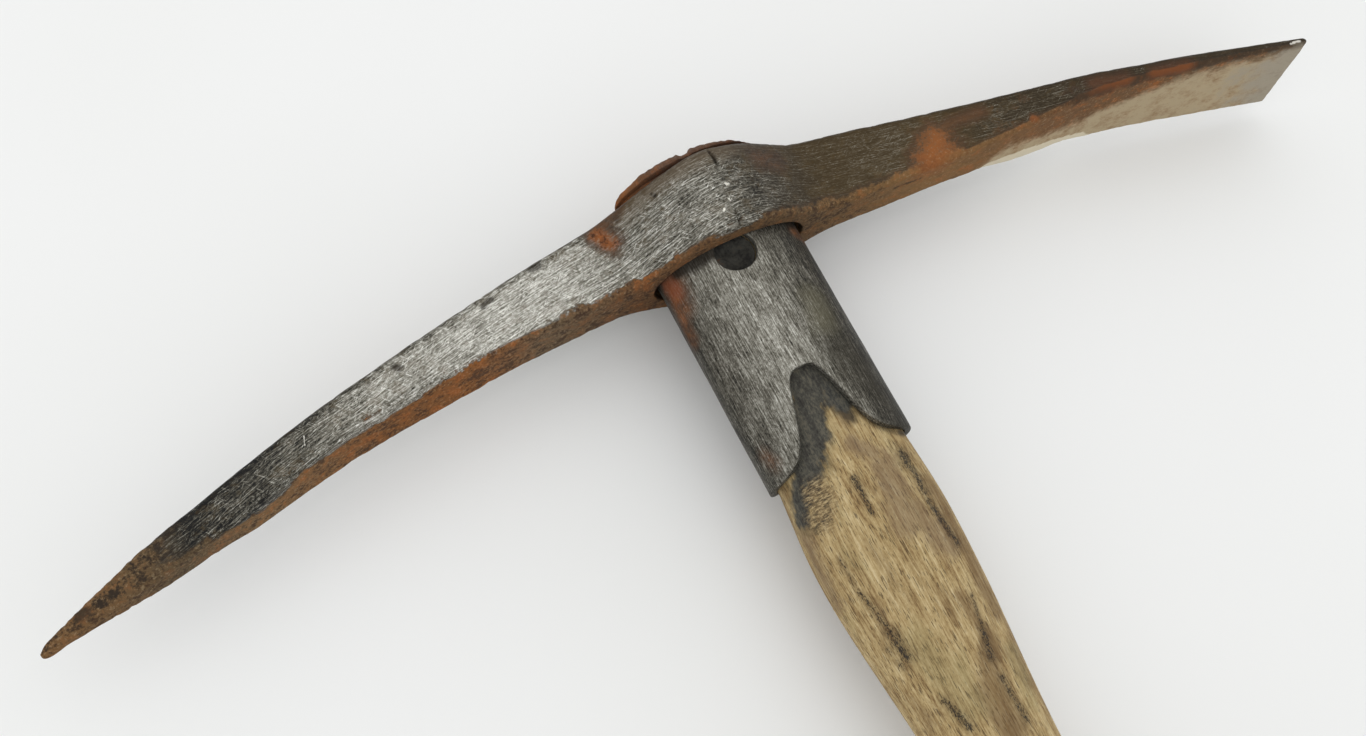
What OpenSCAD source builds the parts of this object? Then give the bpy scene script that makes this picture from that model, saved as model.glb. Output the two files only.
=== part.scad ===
// Pick axe with a drop-on head: a forged steel head, pointed at one end and chiselled
// at the other, seated on the flared steel ferrule of a wooden helve.
// X runs along the head from point to chisel, Y along the helve from butt to head.
// The tool lies on one cheek of the head, and Z is height above that rest.
// The pieces are drawn about the middle of the eye, at the level of the head's underside.

/* [Head] */
// Reach of the point from the middle of the eye
point_reach = 292; // [250:1:340]
// How far the line of the point arm's back hangs below the crown of the head
point_drop = 65.5; // [45:0.5:90]
// How late the point arm bends down: 1 is straight, 2 is a parabola
point_bend = 1.42; // [1.2:0.02:2]
// Reach of the chisel edge from the middle of the eye
chisel_reach = 268; // [240:1:320]
// How far the chisel edge hangs below the crown of the head
chisel_drop = 51; // [35:1:80]
// How late the chisel arm bends down: 1 is straight, 2 is a parabola
chisel_bend = 1.45; // [1.2:0.05:2]
// Rounding along the edges of the head
head_round = 2.5; // [1:0.5:4]

/* [Eye] */
// Depth of the eye along the helve
eye_depth = 36; // [30:1:45]
// Gap between the ferrule and each end of the eye's lower mouth
eye_end_gap = 2.5; // [1:0.1:4]
// Gap between the ferrule and each side of the eye's lower mouth
eye_side_gap = 0.9; // [0.5:0.1:2]
// Wall of each cheek at the eye's lower mouth
cheek_wall = 10.8; // [9:0.1:16]
// Solid steel between each end of the eye and the root of the arm beyond it
end_wall = 12.5; // [8:0.5:18]
// How far the swell of the cheeks runs on past the roots of the arms
cheek_run = 4; // [0:1:12]
// Thickness of both arms at their root
neck_t = 24; // [18:1:30]

/* [Point arm] */
// Distance from the middle of the eye to where the point arm is drawn slim
point_waist_x = 165; // [120:1:180]
// Depth of the point arm there
point_waist_depth = 16.5; // [12:0.5:24]
// Thickness of the point arm there
point_waist_t = 25.5; // [16:0.5:30]
// Length of the final taper to the tip
point_taper = 60; // [40:1:65]
// Depth of the point arm at the start of that taper
point_taper_depth = 14.5; // [10:0.5:20]
// Thickness of the point arm at the start of that taper
point_taper_t = 15; // [10:0.5:20]
// Side of the blunt square tip
tip_side = 3.5; // [2:0.5:6]
// How far the back of the arm is worn down at the tip
tip_relief = 4.5; // [0:0.5:8]

/* [Chisel arm] */
// Distance from the middle of the eye to where the chisel arm starts to spread
chisel_waist_x = 100; // [80:1:130]
// Depth of the chisel arm there
chisel_waist_depth = 23; // [16:0.5:28]
// Thickness of the chisel arm there
chisel_waist_t = 23; // [16:0.5:30]
// Length of the flat blade back from its edge
blade_len = 86; // [60:1:100]
// Depth of the blade at its root
blade_root_depth = 8.6; // [6:0.2:14]
// Width of the blade at its root
blade_root_w = 40.5; // [30:0.5:50]
// Width of the chisel edge
blade_w = 47; // [36:0.5:60]
// Thickness left on the blunt chisel edge
blade_edge = 3; // [1.5:0.5:5]

/* [Ferrule] */
// Length of the ferrule from its rim to the tips of its two tongues
ferrule_len = 132; // [115:0.5:160]
// Width of the ferrule below the head
ferrule_w = 62; // [52:0.5:72]
// Thickness of the ferrule below the head
ferrule_t = 42.6; // [36:0.2:50]
// Wall of the ferrule
ferrule_wall = 3; // [2:0.5:4]
// How far the flare spreads each end of the ferrule's oval by the head's crown
flare_end = 2.7; // [1:0.1:4]
// How far the flare spreads each broad side by the head's crown
flare_side = 4.4; // [2:0.1:6]
// Height that the hammered lip stands proud of the head's crown
rim_proud = 2; // [1:0.5:6]
// How far the lip is spread beyond the flare at each end
lip_end = 0.5; // [0:0.1:2]
// How far the lip is spread beyond the flare at each broad side
lip_side = 2.8; // [0:0.1:4]
// Depth of the mouth cut in each broad side of the ferrule
mouth_depth = 37; // [20:1:50]
// Width of that mouth at half its depth
mouth_w = 23; // [14:1:30]
// How far the mouth and the rivet sit off the middle, towards the chisel
mouth_offset = -3; // [-5:0.5:5]
// Gap that the jammed ferrule keeps from the eye at the crown
seat_gap = 0.3; // [0.2:0.05:0.8]

/* [Rivet] */
// Distance from the ferrule's rim down to the rivet
rivet_drop = 42; // [40:1:50]
// Diameter of the rivet's two sunk heads
rivet_head_d = 16.4; // [12:0.2:18]
// Thickness of each head at its rim
rivet_head_h = 3.2; // [2.4:0.2:5]
// Depth of the dish hammered into each head
rivet_dish = 1.6; // [0.6:0.1:2]
// Diameter of the rivet's shank
rivet_d = 8; // [5:0.5:10]
// How far each head's rim lies below the ferrule's broad side
rivet_sunk = 3; // [2.4:0.1:4]

/* [Helve] */
// Length of the helve from its top to its butt
helve_len = 914; // [700:1:1000]
// How far the top of the helve lies below the ferrule's rim
helve_sunk = 1.5; // [0:0.5:4]
// Distance from the tongue tips down to the belly of the helve
belly_drop = 32; // [25:1:50]
// How far the belly stays inside the line of the ferrule, so that the head passes it
belly_step = 0.8; // [0:0.1:3]
// Distance from the tongue tips down to the throat of the helve
throat_drop = 127; // [90:1:170]
// Width of the throat
throat_w = 44.5; // [40:0.5:52]
// Thickness of the throat
throat_t = 35; // [32:0.5:40]
// Distance from the tongue tips down to where the slim shaft starts
shaft_drop = 300; // [220:1:400]
// Width of the slim shaft
shaft_w = 39; // [32:0.5:44]
// Thickness of the slim shaft
shaft_t = 33; // [28:0.5:38]
// Length over which the grip swells towards its butt
butt_swell = 60; // [30:1:90]
// Length of the butt at its full width
butt_len = 30; // [20:1:60]
// Width of the swollen butt
butt_w = 43; // [36:0.5:50]
// Thickness of the swollen butt
butt_t = 36; // [30:0.5:42]
// Rounding of the butt's end
butt_round = 6; // [2:0.5:12]

/* [Fits] */
// Gap between the helve and the ferrule round it
helve_gap = 0.1; // [0.05:0.05:0.3]
// Gap round the rivet in its holes
rivet_gap = 0.2; // [0.05:0.05:0.4]

/* [Hidden] */

steel_grey = [0.42, 0.40, 0.38];
ferrule_grey = [0.36, 0.36, 0.36];
rivet_black = [0.20, 0.21, 0.23];
ash_tan = [0.74, 0.66, 0.50];

$fn = 64;
// Facets round the ferrule and the helve, and round each corner of the head's section
oval_sides = 60;
corner_steps = 3;
// Spacing of the head's sections in the eye's swell and along the arms
swell_step = 5;
arm_step = 10;
// Levels up the flare and up its lip, and sections between two stations of the helve
flare_levels = 6;
lip_levels = 2;
helve_steps = 3;
// Length by which a cutting shape passes the face that it cuts
past = 1;
// The most of a section's depth or thickness that one rounded corner takes
round_share = 0.4;

eye_len = ferrule_w + 2 * eye_end_gap;
eye_w = ferrule_t + 2 * eye_side_gap;
cheek_w = eye_w + 2 * cheek_wall;
neck_x = eye_len / 2 + end_wall;
cheek_len = 2 * (neck_x + cheek_run);
belly_w = ferrule_w - 2 * belly_step;
belly_t = ferrule_t - 2 * belly_step;
seat_w = ferrule_w + 2 * flare_end;
seat_t = ferrule_t + 2 * flare_side;
rim_w = seat_w + 2 * lip_end;
rim_t = seat_t + 2 * lip_side;

rim_y = eye_depth + rim_proud;
tongue_y = rim_y - ferrule_len;
rivet_y = rim_y - rivet_drop;
helve_top_y = rim_y - helve_sunk;
butt_y = helve_top_y - helve_len;

// The bottom middle of the whole tool's box comes to the frame's origin
frame_shift = [(point_reach - chisel_reach) / 2, -(rim_y + butt_y) / 2, cheek_w / 2];

function mix(a, b, k) = a + (b - a) * k;

// Slope through station i of column c: the harmonic mean keeps the curve from overshooting
function rise(st, c, i) = (st[i + 1][c] - st[i][c]) / (st[i + 1][0] - st[i][0]);
function bend_slope(a, b) = a * b <= 0 ? 0 : 2 * a * b / (a + b);
function slope(st, c, i) =
    i == 0 ? rise(st, c, 0)
    : i == len(st) - 1 ? rise(st, c, i - 1)
    : bend_slope(rise(st, c, i - 1), rise(st, c, i));

// Value of column c at x, on a smooth curve through stations that rise in x
function span(st, x, i = 0) = i < len(st) - 2 && x > st[i + 1][0] ? span(st, x, i + 1) : i;
function hermite(p, q, m, n, h, k) =
    p * (2 * k ^ 3 - 3 * k ^ 2 + 1) + m * h * (k ^ 3 - 2 * k ^ 2 + k)
    + q * (3 * k ^ 2 - 2 * k ^ 3) + n * h * (k ^ 3 - k ^ 2);
function between(st, c, x, i, h) =
    hermite(st[i][c], st[i + 1][c], slope(st, c, i), slope(st, c, i + 1), h, (x - st[i][0]) / h);
function at(st, c, x) = let(i = span(st, x)) between(st, c, x, i, st[i + 1][0] - st[i][0]);

// A closed skin over rings of points that all have the same count
module loft(rings) {
    n = len(rings[0]);
    last = len(rings) - 1;
    walls = [
        for (r = [0 : last - 1], i = [0 : n - 1])
        let(a = r * n + i, b = r * n + (i + 1) % n)
        each [[a, b, b + n], [a, b + n, a + n]]
    ];
    caps = [[for (i = [n - 1 : -1 : 0]) i], [for (i = [0 : n - 1]) last * n + i]];
    polyhedron(points = [for (ring = rings) each ring], faces = concat(walls, caps));
}

// An oval ring of half width a and half thickness b, level at y
function oval(a, b, y) =
    [for (i = [0 : oval_sides - 1]) let(t = -360 * i / oval_sides) [a * cos(t), y, b * sin(t)]];

// The head is lofted along X. Its crown falls away from the middle on both sides.
function point_back(s) = point_drop * (s / point_reach) ^ point_bend;
function chisel_back(s) = chisel_drop * (s / chisel_reach) ^ chisel_bend;
function tip_wear(s) = tip_relief * max(0, 1 - (point_reach - s) / point_taper) ^ 2;
function crown(x) = eye_depth - (x < 0 ? point_back(-x) + tip_wear(-x) : chisel_back(x));

point_arm = [
    [neck_x, crown(-neck_x), neck_t],
    [point_waist_x, point_waist_depth, point_waist_t],
    [point_reach - point_taper, point_taper_depth, point_taper_t],
    [point_reach, tip_side, tip_side]
];
chisel_arm = [
    [neck_x, crown(neck_x), neck_t],
    [chisel_waist_x, chisel_waist_depth, chisel_waist_t],
    [chisel_reach - blade_len, blade_root_depth, blade_root_w],
    [chisel_reach, blade_edge, blade_w]
];

// Depth of the head below its crown, and its half thickness with the swell of the cheeks
function head_depth(x) = abs(x) <= neck_x ? crown(x) : at(x < 0 ? point_arm : chisel_arm, 1, abs(x));
function arm_t(x) = abs(x) <= neck_x ? neck_t : at(x < 0 ? point_arm : chisel_arm, 2, abs(x));
function swell(x) = (1 - min(1, abs(2 * x / cheek_len)) ^ 2) ^ 2;
function head_half(x) = mix(arm_t(x) / 2, cheek_w / 2, swell(x));

// A section of the head at x: a rectangle with rounded corners
function head_ring(x) =
    let(
        top = crown(x),
        depth = head_depth(x),
        half = head_half(x),
        round = min(head_round, round_share * depth, round_share * 2 * half),
        corners = [
            [top - round, half - round, 0],
            [top - round, round - half, -90],
            [top - depth + round, round - half, -180],
            [top - depth + round, half - round, -270]
        ]
    )
    [
        for (c = corners, i = [0 : corner_steps])
        let(t = c[2] + 90 - 90 * i / corner_steps)
        [x, c[0] + round * cos(t), c[1] + round * sin(t)]
    ];

swell_n = ceil(cheek_len / 2 / swell_step);
point_n = ceil((point_reach - cheek_len / 2) / arm_step);
chisel_n = ceil((chisel_reach - cheek_len / 2) / arm_step);
head_x = concat(
    [for (i = [0 : point_n - 1]) mix(-point_reach, -cheek_len / 2, i / point_n)],
    [for (i = [-swell_n : swell_n]) cheek_len / 2 * i / swell_n],
    [for (i = [1 : chisel_n]) mix(cheek_len / 2, chisel_reach, i / chisel_n)]
);

// The ferrule runs straight up to the head's underside, flares from there to the head's
// crown, and is hammered over into a lip above it
ferrule_stations = [
    [0, ferrule_w / 2, ferrule_t / 2],
    [eye_depth, seat_w / 2, seat_t / 2],
    [rim_y, rim_w / 2, rim_t / 2]
];
function ferrule_oval(y, inset) =
    let(level = max(0, y))
    oval(at(ferrule_stations, 1, level) - inset, at(ferrule_stations, 2, level) - inset, y);

// The eye opens upwards to the same flare, so that the head jams on the ferrule
function eye_a(y) = mix(eye_len, seat_w + 2 * seat_gap, y / eye_depth) / 2;
function eye_b(y) = mix(eye_w, seat_t + 2 * seat_gap, y / eye_depth) / 2;
function eye_ring(y) = oval(eye_a(y), eye_b(y), y);

module pick_head() {
    color(steel_grey)
    translate(frame_shift)
    difference() {
        loft([for (x = head_x) head_ring(x)]);
        loft([eye_ring(eye_depth + past), eye_ring(-past)]);
    }
}

// The lower edge of the ferrule: two tongues, with a bell-shaped mouth between them
function mouth_edge(x) = tongue_y + mouth_depth / (1 + abs(2 * (x - mouth_offset) / mouth_w) ^ 4);
flare_y = concat(
    [for (i = [0 : lip_levels - 1]) mix(rim_y, eye_depth, i / lip_levels)],
    [for (i = [0 : flare_levels]) eye_depth * (1 - i / flare_levels)]
);
function ferrule_rings(inset) = concat(
    [for (y = flare_y) ferrule_oval(y, inset)],
    [[for (p = ferrule_oval(0, inset)) [p[0], mouth_edge(p[0]), p[2]]]]
);

// A sleeve between an outer and an inner stack of rings, closed at both ends
module sleeve(outer, inner) {
    rings = concat(outer, [for (i = [len(inner) - 1 : -1 : 0]) inner[i]]);
    n = len(rings[0]);
    count = len(rings);
    polyhedron(
        points = [for (ring = rings) each ring],
        faces = [
            for (r = [0 : count - 1], i = [0 : n - 1])
            let(s = (r + 1) % count, j = (i + 1) % n)
            each [[r * n + i, r * n + j, s * n + j], [r * n + i, s * n + j, s * n + i]]
        ]
    );
}

// A round bar along the rivet's axis, square to the broad sides of the ferrule
module rivet_bar(d, from, to) {
    translate([mouth_offset, rivet_y, from])
    cylinder(d = d, h = to - from);
}

module ferrule() {
    color(ferrule_grey)
    translate(frame_shift)
    difference() {
        sleeve(ferrule_rings(0), ferrule_rings(ferrule_wall));
        rivet_bar(rivet_head_d + 2 * rivet_gap, -rim_t, rim_t);
    }
}

// Each head of the rivet is sunk below the ferrule and dished by the hammer
rivet_face = ferrule_t / 2 - rivet_sunk;
rivet_seat = rivet_face - rivet_head_h;
dish_r = (rivet_head_d ^ 2 / 4 + rivet_dish ^ 2) / (2 * rivet_dish);

module ferrule_rivet() {
    color(rivet_black)
    translate(frame_shift)
    difference() {
        union() {
            rivet_bar(rivet_d, -rivet_face, rivet_face);
            rivet_bar(rivet_head_d, rivet_seat, rivet_face);
            rivet_bar(rivet_head_d, -rivet_face, -rivet_seat);
        }
        for (side = [-1, 1])
            translate([mouth_offset, rivet_y, side * (rivet_face + dish_r - rivet_dish)])
            sphere(r = dish_r);
    }
}

// Half sizes of the helve by the distance below the tongue tips
sleeve_inset = ferrule_wall + helve_gap;
bare_len = tongue_y - butt_y;
helve_stations = [
    [0, ferrule_w / 2 - sleeve_inset, ferrule_t / 2 - sleeve_inset],
    [belly_drop, belly_w / 2, belly_t / 2],
    [throat_drop, throat_w / 2, throat_t / 2],
    [shaft_drop, shaft_w / 2, shaft_t / 2],
    [bare_len - butt_len - butt_swell, shaft_w / 2, shaft_t / 2],
    [bare_len - butt_len, butt_w / 2, butt_t / 2],
    [bare_len - butt_round, butt_w / 2, butt_t / 2]
];
helve_d = concat(
    [for (i = [0 : len(helve_stations) - 2], k = [0 : helve_steps - 1])
        mix(helve_stations[i][0], helve_stations[i + 1][0], k / helve_steps)],
    [bare_len - butt_round]
);
bare_rings = [
    for (d = helve_d) oval(at(helve_stations, 1, d), at(helve_stations, 2, d), tongue_y - d)
];
butt_rings = [
    for (i = [1 : corner_steps])
    let(t = 90 * i / corner_steps, cut = butt_round * (1 - cos(t)))
    oval(butt_w / 2 - cut, butt_t / 2 - cut, butt_y + butt_round * (1 - sin(t)))
];
head_rings = concat(
    [ferrule_oval(helve_top_y, sleeve_inset)],
    [for (y = flare_y) if (y < helve_top_y) ferrule_oval(y, sleeve_inset)]
);

module helve() {
    color(ash_tan)
    translate(frame_shift)
    difference() {
        loft(concat(head_rings, bare_rings, butt_rings));
        rivet_bar(rivet_d + 2 * rivet_gap, -rim_t, rim_t);
        rivet_bar(rivet_head_d + 2 * rivet_gap, rivet_seat - rivet_gap, rim_t);
        rivet_bar(rivet_head_d + 2 * rivet_gap, -rim_t, rivet_gap - rivet_seat);
    }
}

pick_head();
ferrule();
ferrule_rivet();
helve();
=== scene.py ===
import math

import bmesh
import bpy
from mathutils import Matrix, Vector, noise


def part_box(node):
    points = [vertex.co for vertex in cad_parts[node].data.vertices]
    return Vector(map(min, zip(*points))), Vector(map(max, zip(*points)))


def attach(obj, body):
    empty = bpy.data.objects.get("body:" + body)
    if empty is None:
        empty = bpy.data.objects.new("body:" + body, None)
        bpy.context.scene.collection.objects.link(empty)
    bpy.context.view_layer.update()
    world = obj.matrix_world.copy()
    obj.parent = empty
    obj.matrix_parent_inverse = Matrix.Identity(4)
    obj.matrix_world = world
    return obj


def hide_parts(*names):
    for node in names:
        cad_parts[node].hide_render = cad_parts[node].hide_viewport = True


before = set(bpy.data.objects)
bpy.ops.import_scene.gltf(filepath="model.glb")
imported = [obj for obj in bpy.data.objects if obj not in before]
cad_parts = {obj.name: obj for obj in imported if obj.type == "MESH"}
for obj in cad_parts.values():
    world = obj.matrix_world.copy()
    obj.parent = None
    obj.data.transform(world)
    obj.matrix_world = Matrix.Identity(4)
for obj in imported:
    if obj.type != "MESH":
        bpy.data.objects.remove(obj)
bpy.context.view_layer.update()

# The stage is a sheet of pale paper under the tool, in a pale room with two wide soft lamps overhead.
# The camera stands where the photograph was taken from: above the helve, on the point's side.
mm = 0.001
eye_depth = 36
head_low, head_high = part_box("pick_head")
helve_low, helve_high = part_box("helve")

# Every piece is measured in millimetres from the middle of the eye, at the underside of the head
eye = Vector((
    (helve_low.x + helve_high.x) / 2,
    head_high.y - eye_depth * mm,
    (head_low.z + head_high.z) / 2,
))


def from_eye(corner):
    """A corner of a box in millimetres from the eye."""
    return (corner - eye) / mm


scene = bpy.context.scene
scene.view_settings.view_transform = "Standard"

photo_wide_px = 1366
focal_px = 1722
camera_place = Vector((-223.5, -219.1, 614.0))
camera_turn_deg = (22.03, -7.36, -27.33)
camera_data = bpy.data.cameras.new("camera")
camera_data.sensor_width = 36
camera_data.lens = camera_data.sensor_width * focal_px / photo_wide_px
camera_data.clip_start = 0.01
camera = bpy.data.objects.new("camera", camera_data)
camera.location = eye + camera_place * mm
camera.rotation_euler = [math.radians(turn) for turn in camera_turn_deg]
scene.collection.objects.link(camera)
scene.camera = camera


def soft_lamp(name, place, size, watts):
    """A square lamp at a place in millimetres from the eye, which it faces."""
    lamp_data = bpy.data.lights.new(name, "AREA")
    lamp_data.size = size * mm
    lamp_data.energy = watts
    lamp = bpy.data.objects.new(name, lamp_data)
    lamp.location = eye + Vector(place) * mm
    lamp.rotation_euler = Vector(place).to_track_quat("Z", "Y").to_euler()
    scene.collection.objects.link(lamp)


soft_lamp("lamp_over_chisel", (500, 500, 1800), 1800, 4)
soft_lamp("lamp_over_point", (-500, 600, 1800), 1800, 2)


def put(tree, kind, feeds=None, **settings):
    """Adds a shader node. Its feeds, by a socket's name or number, are values or other nodes' sockets."""
    node = tree.nodes.new("ShaderNode" + kind)
    for name, value in settings.items():
        setattr(node, name, value)
    for socket, value in (feeds or {}).items():
        if isinstance(value, bpy.types.NodeSocket):
            tree.links.new(value, node.inputs[socket])
        else:
            node.inputs[socket].default_value = value
    return node


def split(tree, vector_socket):
    """The X, Y and Z of a vector."""
    return put(tree, "SeparateXYZ", {0: vector_socket}).outputs


def paint(red, green, blue):
    """A colour in screen values, 0 to 255, as a shader takes it."""
    return tuple(((part / 255 + 0.055) / 1.055) ** 2.4 for part in (red, green, blue)) + (1.0,)


def ramp(tree, value, stops):
    """A run of colours over a value: stops are pairs of a place, 0 to 1, and a colour."""
    node = put(tree, "ValToRGB", {0: value})
    elements = node.color_ramp.elements
    elements[0].position, elements[0].color = stops[0]
    elements[-1].position, elements[-1].color = stops[-1]
    for position, colour in stops[1:-1]:
        elements.new(position).color = colour
    return node.outputs[0]


def cloud(tree, place, lump, detail=4.0, rough=0.55):
    """Soft noise from 0 to 1 with lumps of the given millimetres along X, Y and Z."""
    per_lump = [1 / (side * mm) for side in lump]
    scaled = put(tree, "VectorMath", {0: place, 1: per_lump}, operation="MULTIPLY").outputs[0]
    feeds = {"Vector": scaled, "Scale": 1.0, "Detail": detail, "Roughness": rough}
    return put(tree, "TexNoise", feeds).outputs[0]


def new_finish(name):
    """A new material: its node tree and its Principled shader."""
    material = bpy.data.materials.new(name)
    material.use_nodes = True
    return material, material.node_tree, material.node_tree.nodes["Principled BSDF"]


room_strength = 1.36
world = bpy.data.worlds.new("pale_room")
world.use_nodes = True
scene.world = world
room = world.node_tree
look = put(room, "TexCoord").outputs["Generated"]
height = split(room, look)["Z"]
wall_and_ceiling = ((0.0, paint(232, 232, 234)), (0.4, paint(224, 224, 224)), (1.0, paint(206, 206, 205)))
room_colour = ramp(room, height, wall_and_ceiling)
room.links.new(room_colour, room.nodes["Background"].inputs["Color"])
room.nodes["Background"].inputs["Strength"].default_value = room_strength

paper_half = 6000
paper_mesh = bpy.data.meshes.new("paper")
paper_mesh.from_pydata(
    [(x * paper_half * mm, y * paper_half * mm, 0) for x, y in ((-1, -1), (1, -1), (1, 1), (-1, 1))],
    [],
    [(0, 1, 2, 3)],
)
paper = bpy.data.objects.new("paper", paper_mesh)
scene.collection.objects.link(paper)
paper_finish, tree, shader = new_finish("paper")
paper_place = put(tree, "TexCoord").outputs["Object"]
paper_cloud = cloud(tree, paper_place, (300, 300, 300), 2.0)
paper_colour = ramp(tree, paper_cloud, ((0.3, paint(236, 237, 236)), (0.7, paint(240, 241, 241))))
tree.links.new(paper_colour, shader.inputs["Base Color"])
shader.inputs["Roughness"].default_value = 0.7
shader.inputs["Specular IOR Level"].default_value = 0.2
paper_mesh.materials.append(paper_finish)

# The helve is a shaved ash handle, oval all along and driven into the ferrule at the top. It swells just
# below the ferrule's tongues, slims to the grip and swells again at the butt. The wood is old and dry:
# stained dark in the ferrule's mouth, and scuffed black on its shoulders where heads have slid over it.
helve_top = from_eye(helve_high).y
butt_y = from_eye(helve_low).y
rim_y = from_eye(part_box("ferrule")[1]).y
ferrule_len = 132
tongue_y = rim_y - ferrule_len
ferrule_wall = 3.0
# Up the sleeve and down the bare wood: half the width and half the thickness
ferrule_stations = [(0, 31.0, 21.3), (eye_depth, 33.7, 25.7), (rim_y, 34.2, 28.5)]
helve_gap = 0.12
butt_round = 6
bare_len = tongue_y - butt_y
helve_stations = [
    (0, 27.9, 18.2),
    (32, 29.8, 20.3),
    (127, 23.0, 17.4),
    (300, 19.5, 16.5),
    (bare_len - 90, 19.5, 16.5),
    (bare_len - 30, 21.5, 18.0),
    (bare_len - butt_round, 21.5, 18.0),
]
helve_sides = 132
# The helve bows a little to the point's side: how far, along the bare wood
helve_bow = [(0, 0), (60, -1.2), (200, -1.2), (bare_len - 200, 0), (bare_len, 0)]
# Scuffs on the shoulders: both ends, in millimetres from the eye, and the half width
scuffs = [
    ((18.6, -103, 14.4), (17.8, -107, 15.2), 2.9),
    ((18.6, -109, 15.0), (18.0, -120, 16.1), 2.2),
    ((17.4, -124, 16.6), (19.6, -142, 15.0), 2.2),
    ((-5.3, -104, 18.7), (-5.7, -108, 19.0), 1.4),
    ((-5.6, -108, 19.1), (-6.2, -119, 19.8), 1.1),
    ((-23.4, -128, 12.7), (-23.0, -142, 12.4), 0.9),
    ((-22.8, -142, 12.4), (-20.0, -160, 13.8), 1.4),
    ((-20.2, -160, 13.6), (-19.3, -171, 13.4), 2.2),
    ((-22.8, -165, 10.8), (-22.4, -167, 10.9), 1.4),
    ((-21.6, -171, 11.3), (-21.4, -173, 11.4), 1.7),
    ((13.4, -162, 17.1), (10.6, -174, 17.5), 1.1),
    ((10.4, -174, 17.5), (7.6, -185, 17.8), 1.7),
    ((7.8, -193, 17.4), (8.4, -210, 16.6), 1.6),
    ((-15.2, -191, 14.3), (-12.0, -203, 15.5), 1.5),
    ((-19.2, -188, 11.6), (-17.8, -196, 12.2), 0.8),
    ((21.6, -112, -13.2), (19.2, -150, -14.6), 1.8),
    ((-23.0, -108, -13.4), (-21.6, -158, -12.4), 1.7),
    ((3.0, -120, -20.0), (-2.0, -140, -19.6), 1.2),
]


def rise(stations, column, i):
    """Slope of the straight line from a station to the next."""
    return (stations[i + 1][column] - stations[i][column]) / (stations[i + 1][0] - stations[i][0])


def slope(stations, column, i):
    """Slope at a station: the harmonic mean of its neighbours keeps the curve from overshooting."""
    if i == 0:
        return rise(stations, column, 0)
    before = rise(stations, column, i - 1)
    if i == len(stations) - 1:
        return before
    after = rise(stations, column, i)
    return 2 * before * after / (before + after) if before * after > 0 else 0


def along_curve(stations, column, at):
    """A column's value on the smooth curve through stations that rise in their first column."""
    i = 0
    while i < len(stations) - 2 and at > stations[i + 1][0]:
        i += 1
    gap = stations[i + 1][0] - stations[i][0]
    k = (at - stations[i][0]) / gap
    return (
        stations[i][column] * (2 * k ** 3 - 3 * k ** 2 + 1)
        + slope(stations, column, i) * gap * (k ** 3 - 2 * k ** 2 + k)
        + stations[i + 1][column] * (3 * k ** 2 - 2 * k ** 3)
        + slope(stations, column, i + 1) * gap * (k ** 3 - k ** 2)
    )


def sleeve_half(y, inset):
    """Half width and half thickness of the ferrule at a height, taken in from its outside."""
    level = min(max(0, y), rim_y)
    return [along_curve(ferrule_stations, column, level) - inset for column in (1, 2)]


def helve_half(y):
    """Half width and half thickness of the wood at a height."""
    if y > tongue_y:
        return sleeve_half(y, ferrule_wall + helve_gap)
    if y < butt_y + butt_round:
        cut = butt_round - math.sqrt(max(0, butt_round ** 2 - (butt_y + butt_round - y) ** 2))
        return [size - cut for size in helve_stations[-1][1:]]
    return [along_curve(helve_stations, column, tongue_y - y) for column in (1, 2)]


def lumps(place, size):
    """Noise from -1 to 1 with lumps of the given millimetres along X, Y and Z."""
    return noise.noise(Vector((place[0] / size[0], place[1] / size[1], place[2] / size[2])))


def reach(place, start, end):
    """How far a place is from the straight stroke between two ends."""
    start = Vector(start)
    run = Vector(end) - start
    k = max(0, min(1, (place - start).dot(run) / run.length_squared))
    return (place - start - run * k).length


def steps(start, stop, size):
    """Even steps of about one size from a start towards a stop, which is left out."""
    count = max(1, round(abs(stop - start) / size))
    return [start + (stop - start) * i / count for i in range(count)]


def skin(rings, ends_closed=True):
    """Points and faces of a skin over rings of one count, each closed on itself."""
    count = len(rings[0])
    points = [point for ring in rings for point in ring]
    faces = []
    for r in range(len(rings) - 1 if ends_closed else len(rings)):
        here = r * count
        there = (r + 1) % len(rings) * count
        for i in range(count):
            j = (i + 1) % count
            faces.append((here + i, here + j, there + j, there + i))
    if ends_closed:
        faces.append(tuple(reversed(range(count))))
        faces.append(tuple(range(len(points) - count, len(points))))
    return points, faces


def new_piece(name, points, faces):
    """A mesh object whose points are in millimetres from the eye."""
    mesh = bpy.data.meshes.new(name)
    mesh.from_pydata([Vector(point) * mm for point in points], [], faces)
    # Every face is turned outwards
    shell = bmesh.new()
    shell.from_mesh(mesh)
    bmesh.ops.recalc_face_normals(shell, faces=shell.faces)
    shell.to_mesh(mesh)
    shell.free()
    piece = bpy.data.objects.new(name, mesh)
    piece.location = eye
    scene.collection.objects.link(piece)
    return piece


def turned(name, profile, centre, sides=72):
    """A piece turned about an axis along Z. Its profile runs downwards, as pairs of a radius and a Z."""
    rings = []
    for radius, z in profile:
        ring = []
        for i in range(sides):
            turn = -2 * math.pi * i / sides
            ring.append((centre.x + radius * math.cos(turn), centre.y + radius * math.sin(turn), z))
        rings.append(ring)
    return new_piece(name, *skin(rings))


def cut_out(piece, cutter):
    """Cuts the cutter's shape out of a piece, and takes the cutter away."""
    tool = piece.modifiers.new("cut", "BOOLEAN")
    tool.object = cutter
    tool.operation = "DIFFERENCE"
    tool.solver = "EXACT"
    bpy.context.view_layer.update()
    solid = bpy.data.meshes.new_from_object(piece.evaluated_get(bpy.context.evaluated_depsgraph_get()))
    piece.modifiers.clear()
    piece.data = solid
    bpy.data.objects.remove(cutter)


def smooth_skin(piece, sharp_deg):
    """Shades a piece smooth, apart from edges sharper than an angle."""
    piece.data.shade_smooth()
    piece.data.set_sharp_from_angle(angle=math.radians(sharp_deg))


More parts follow.
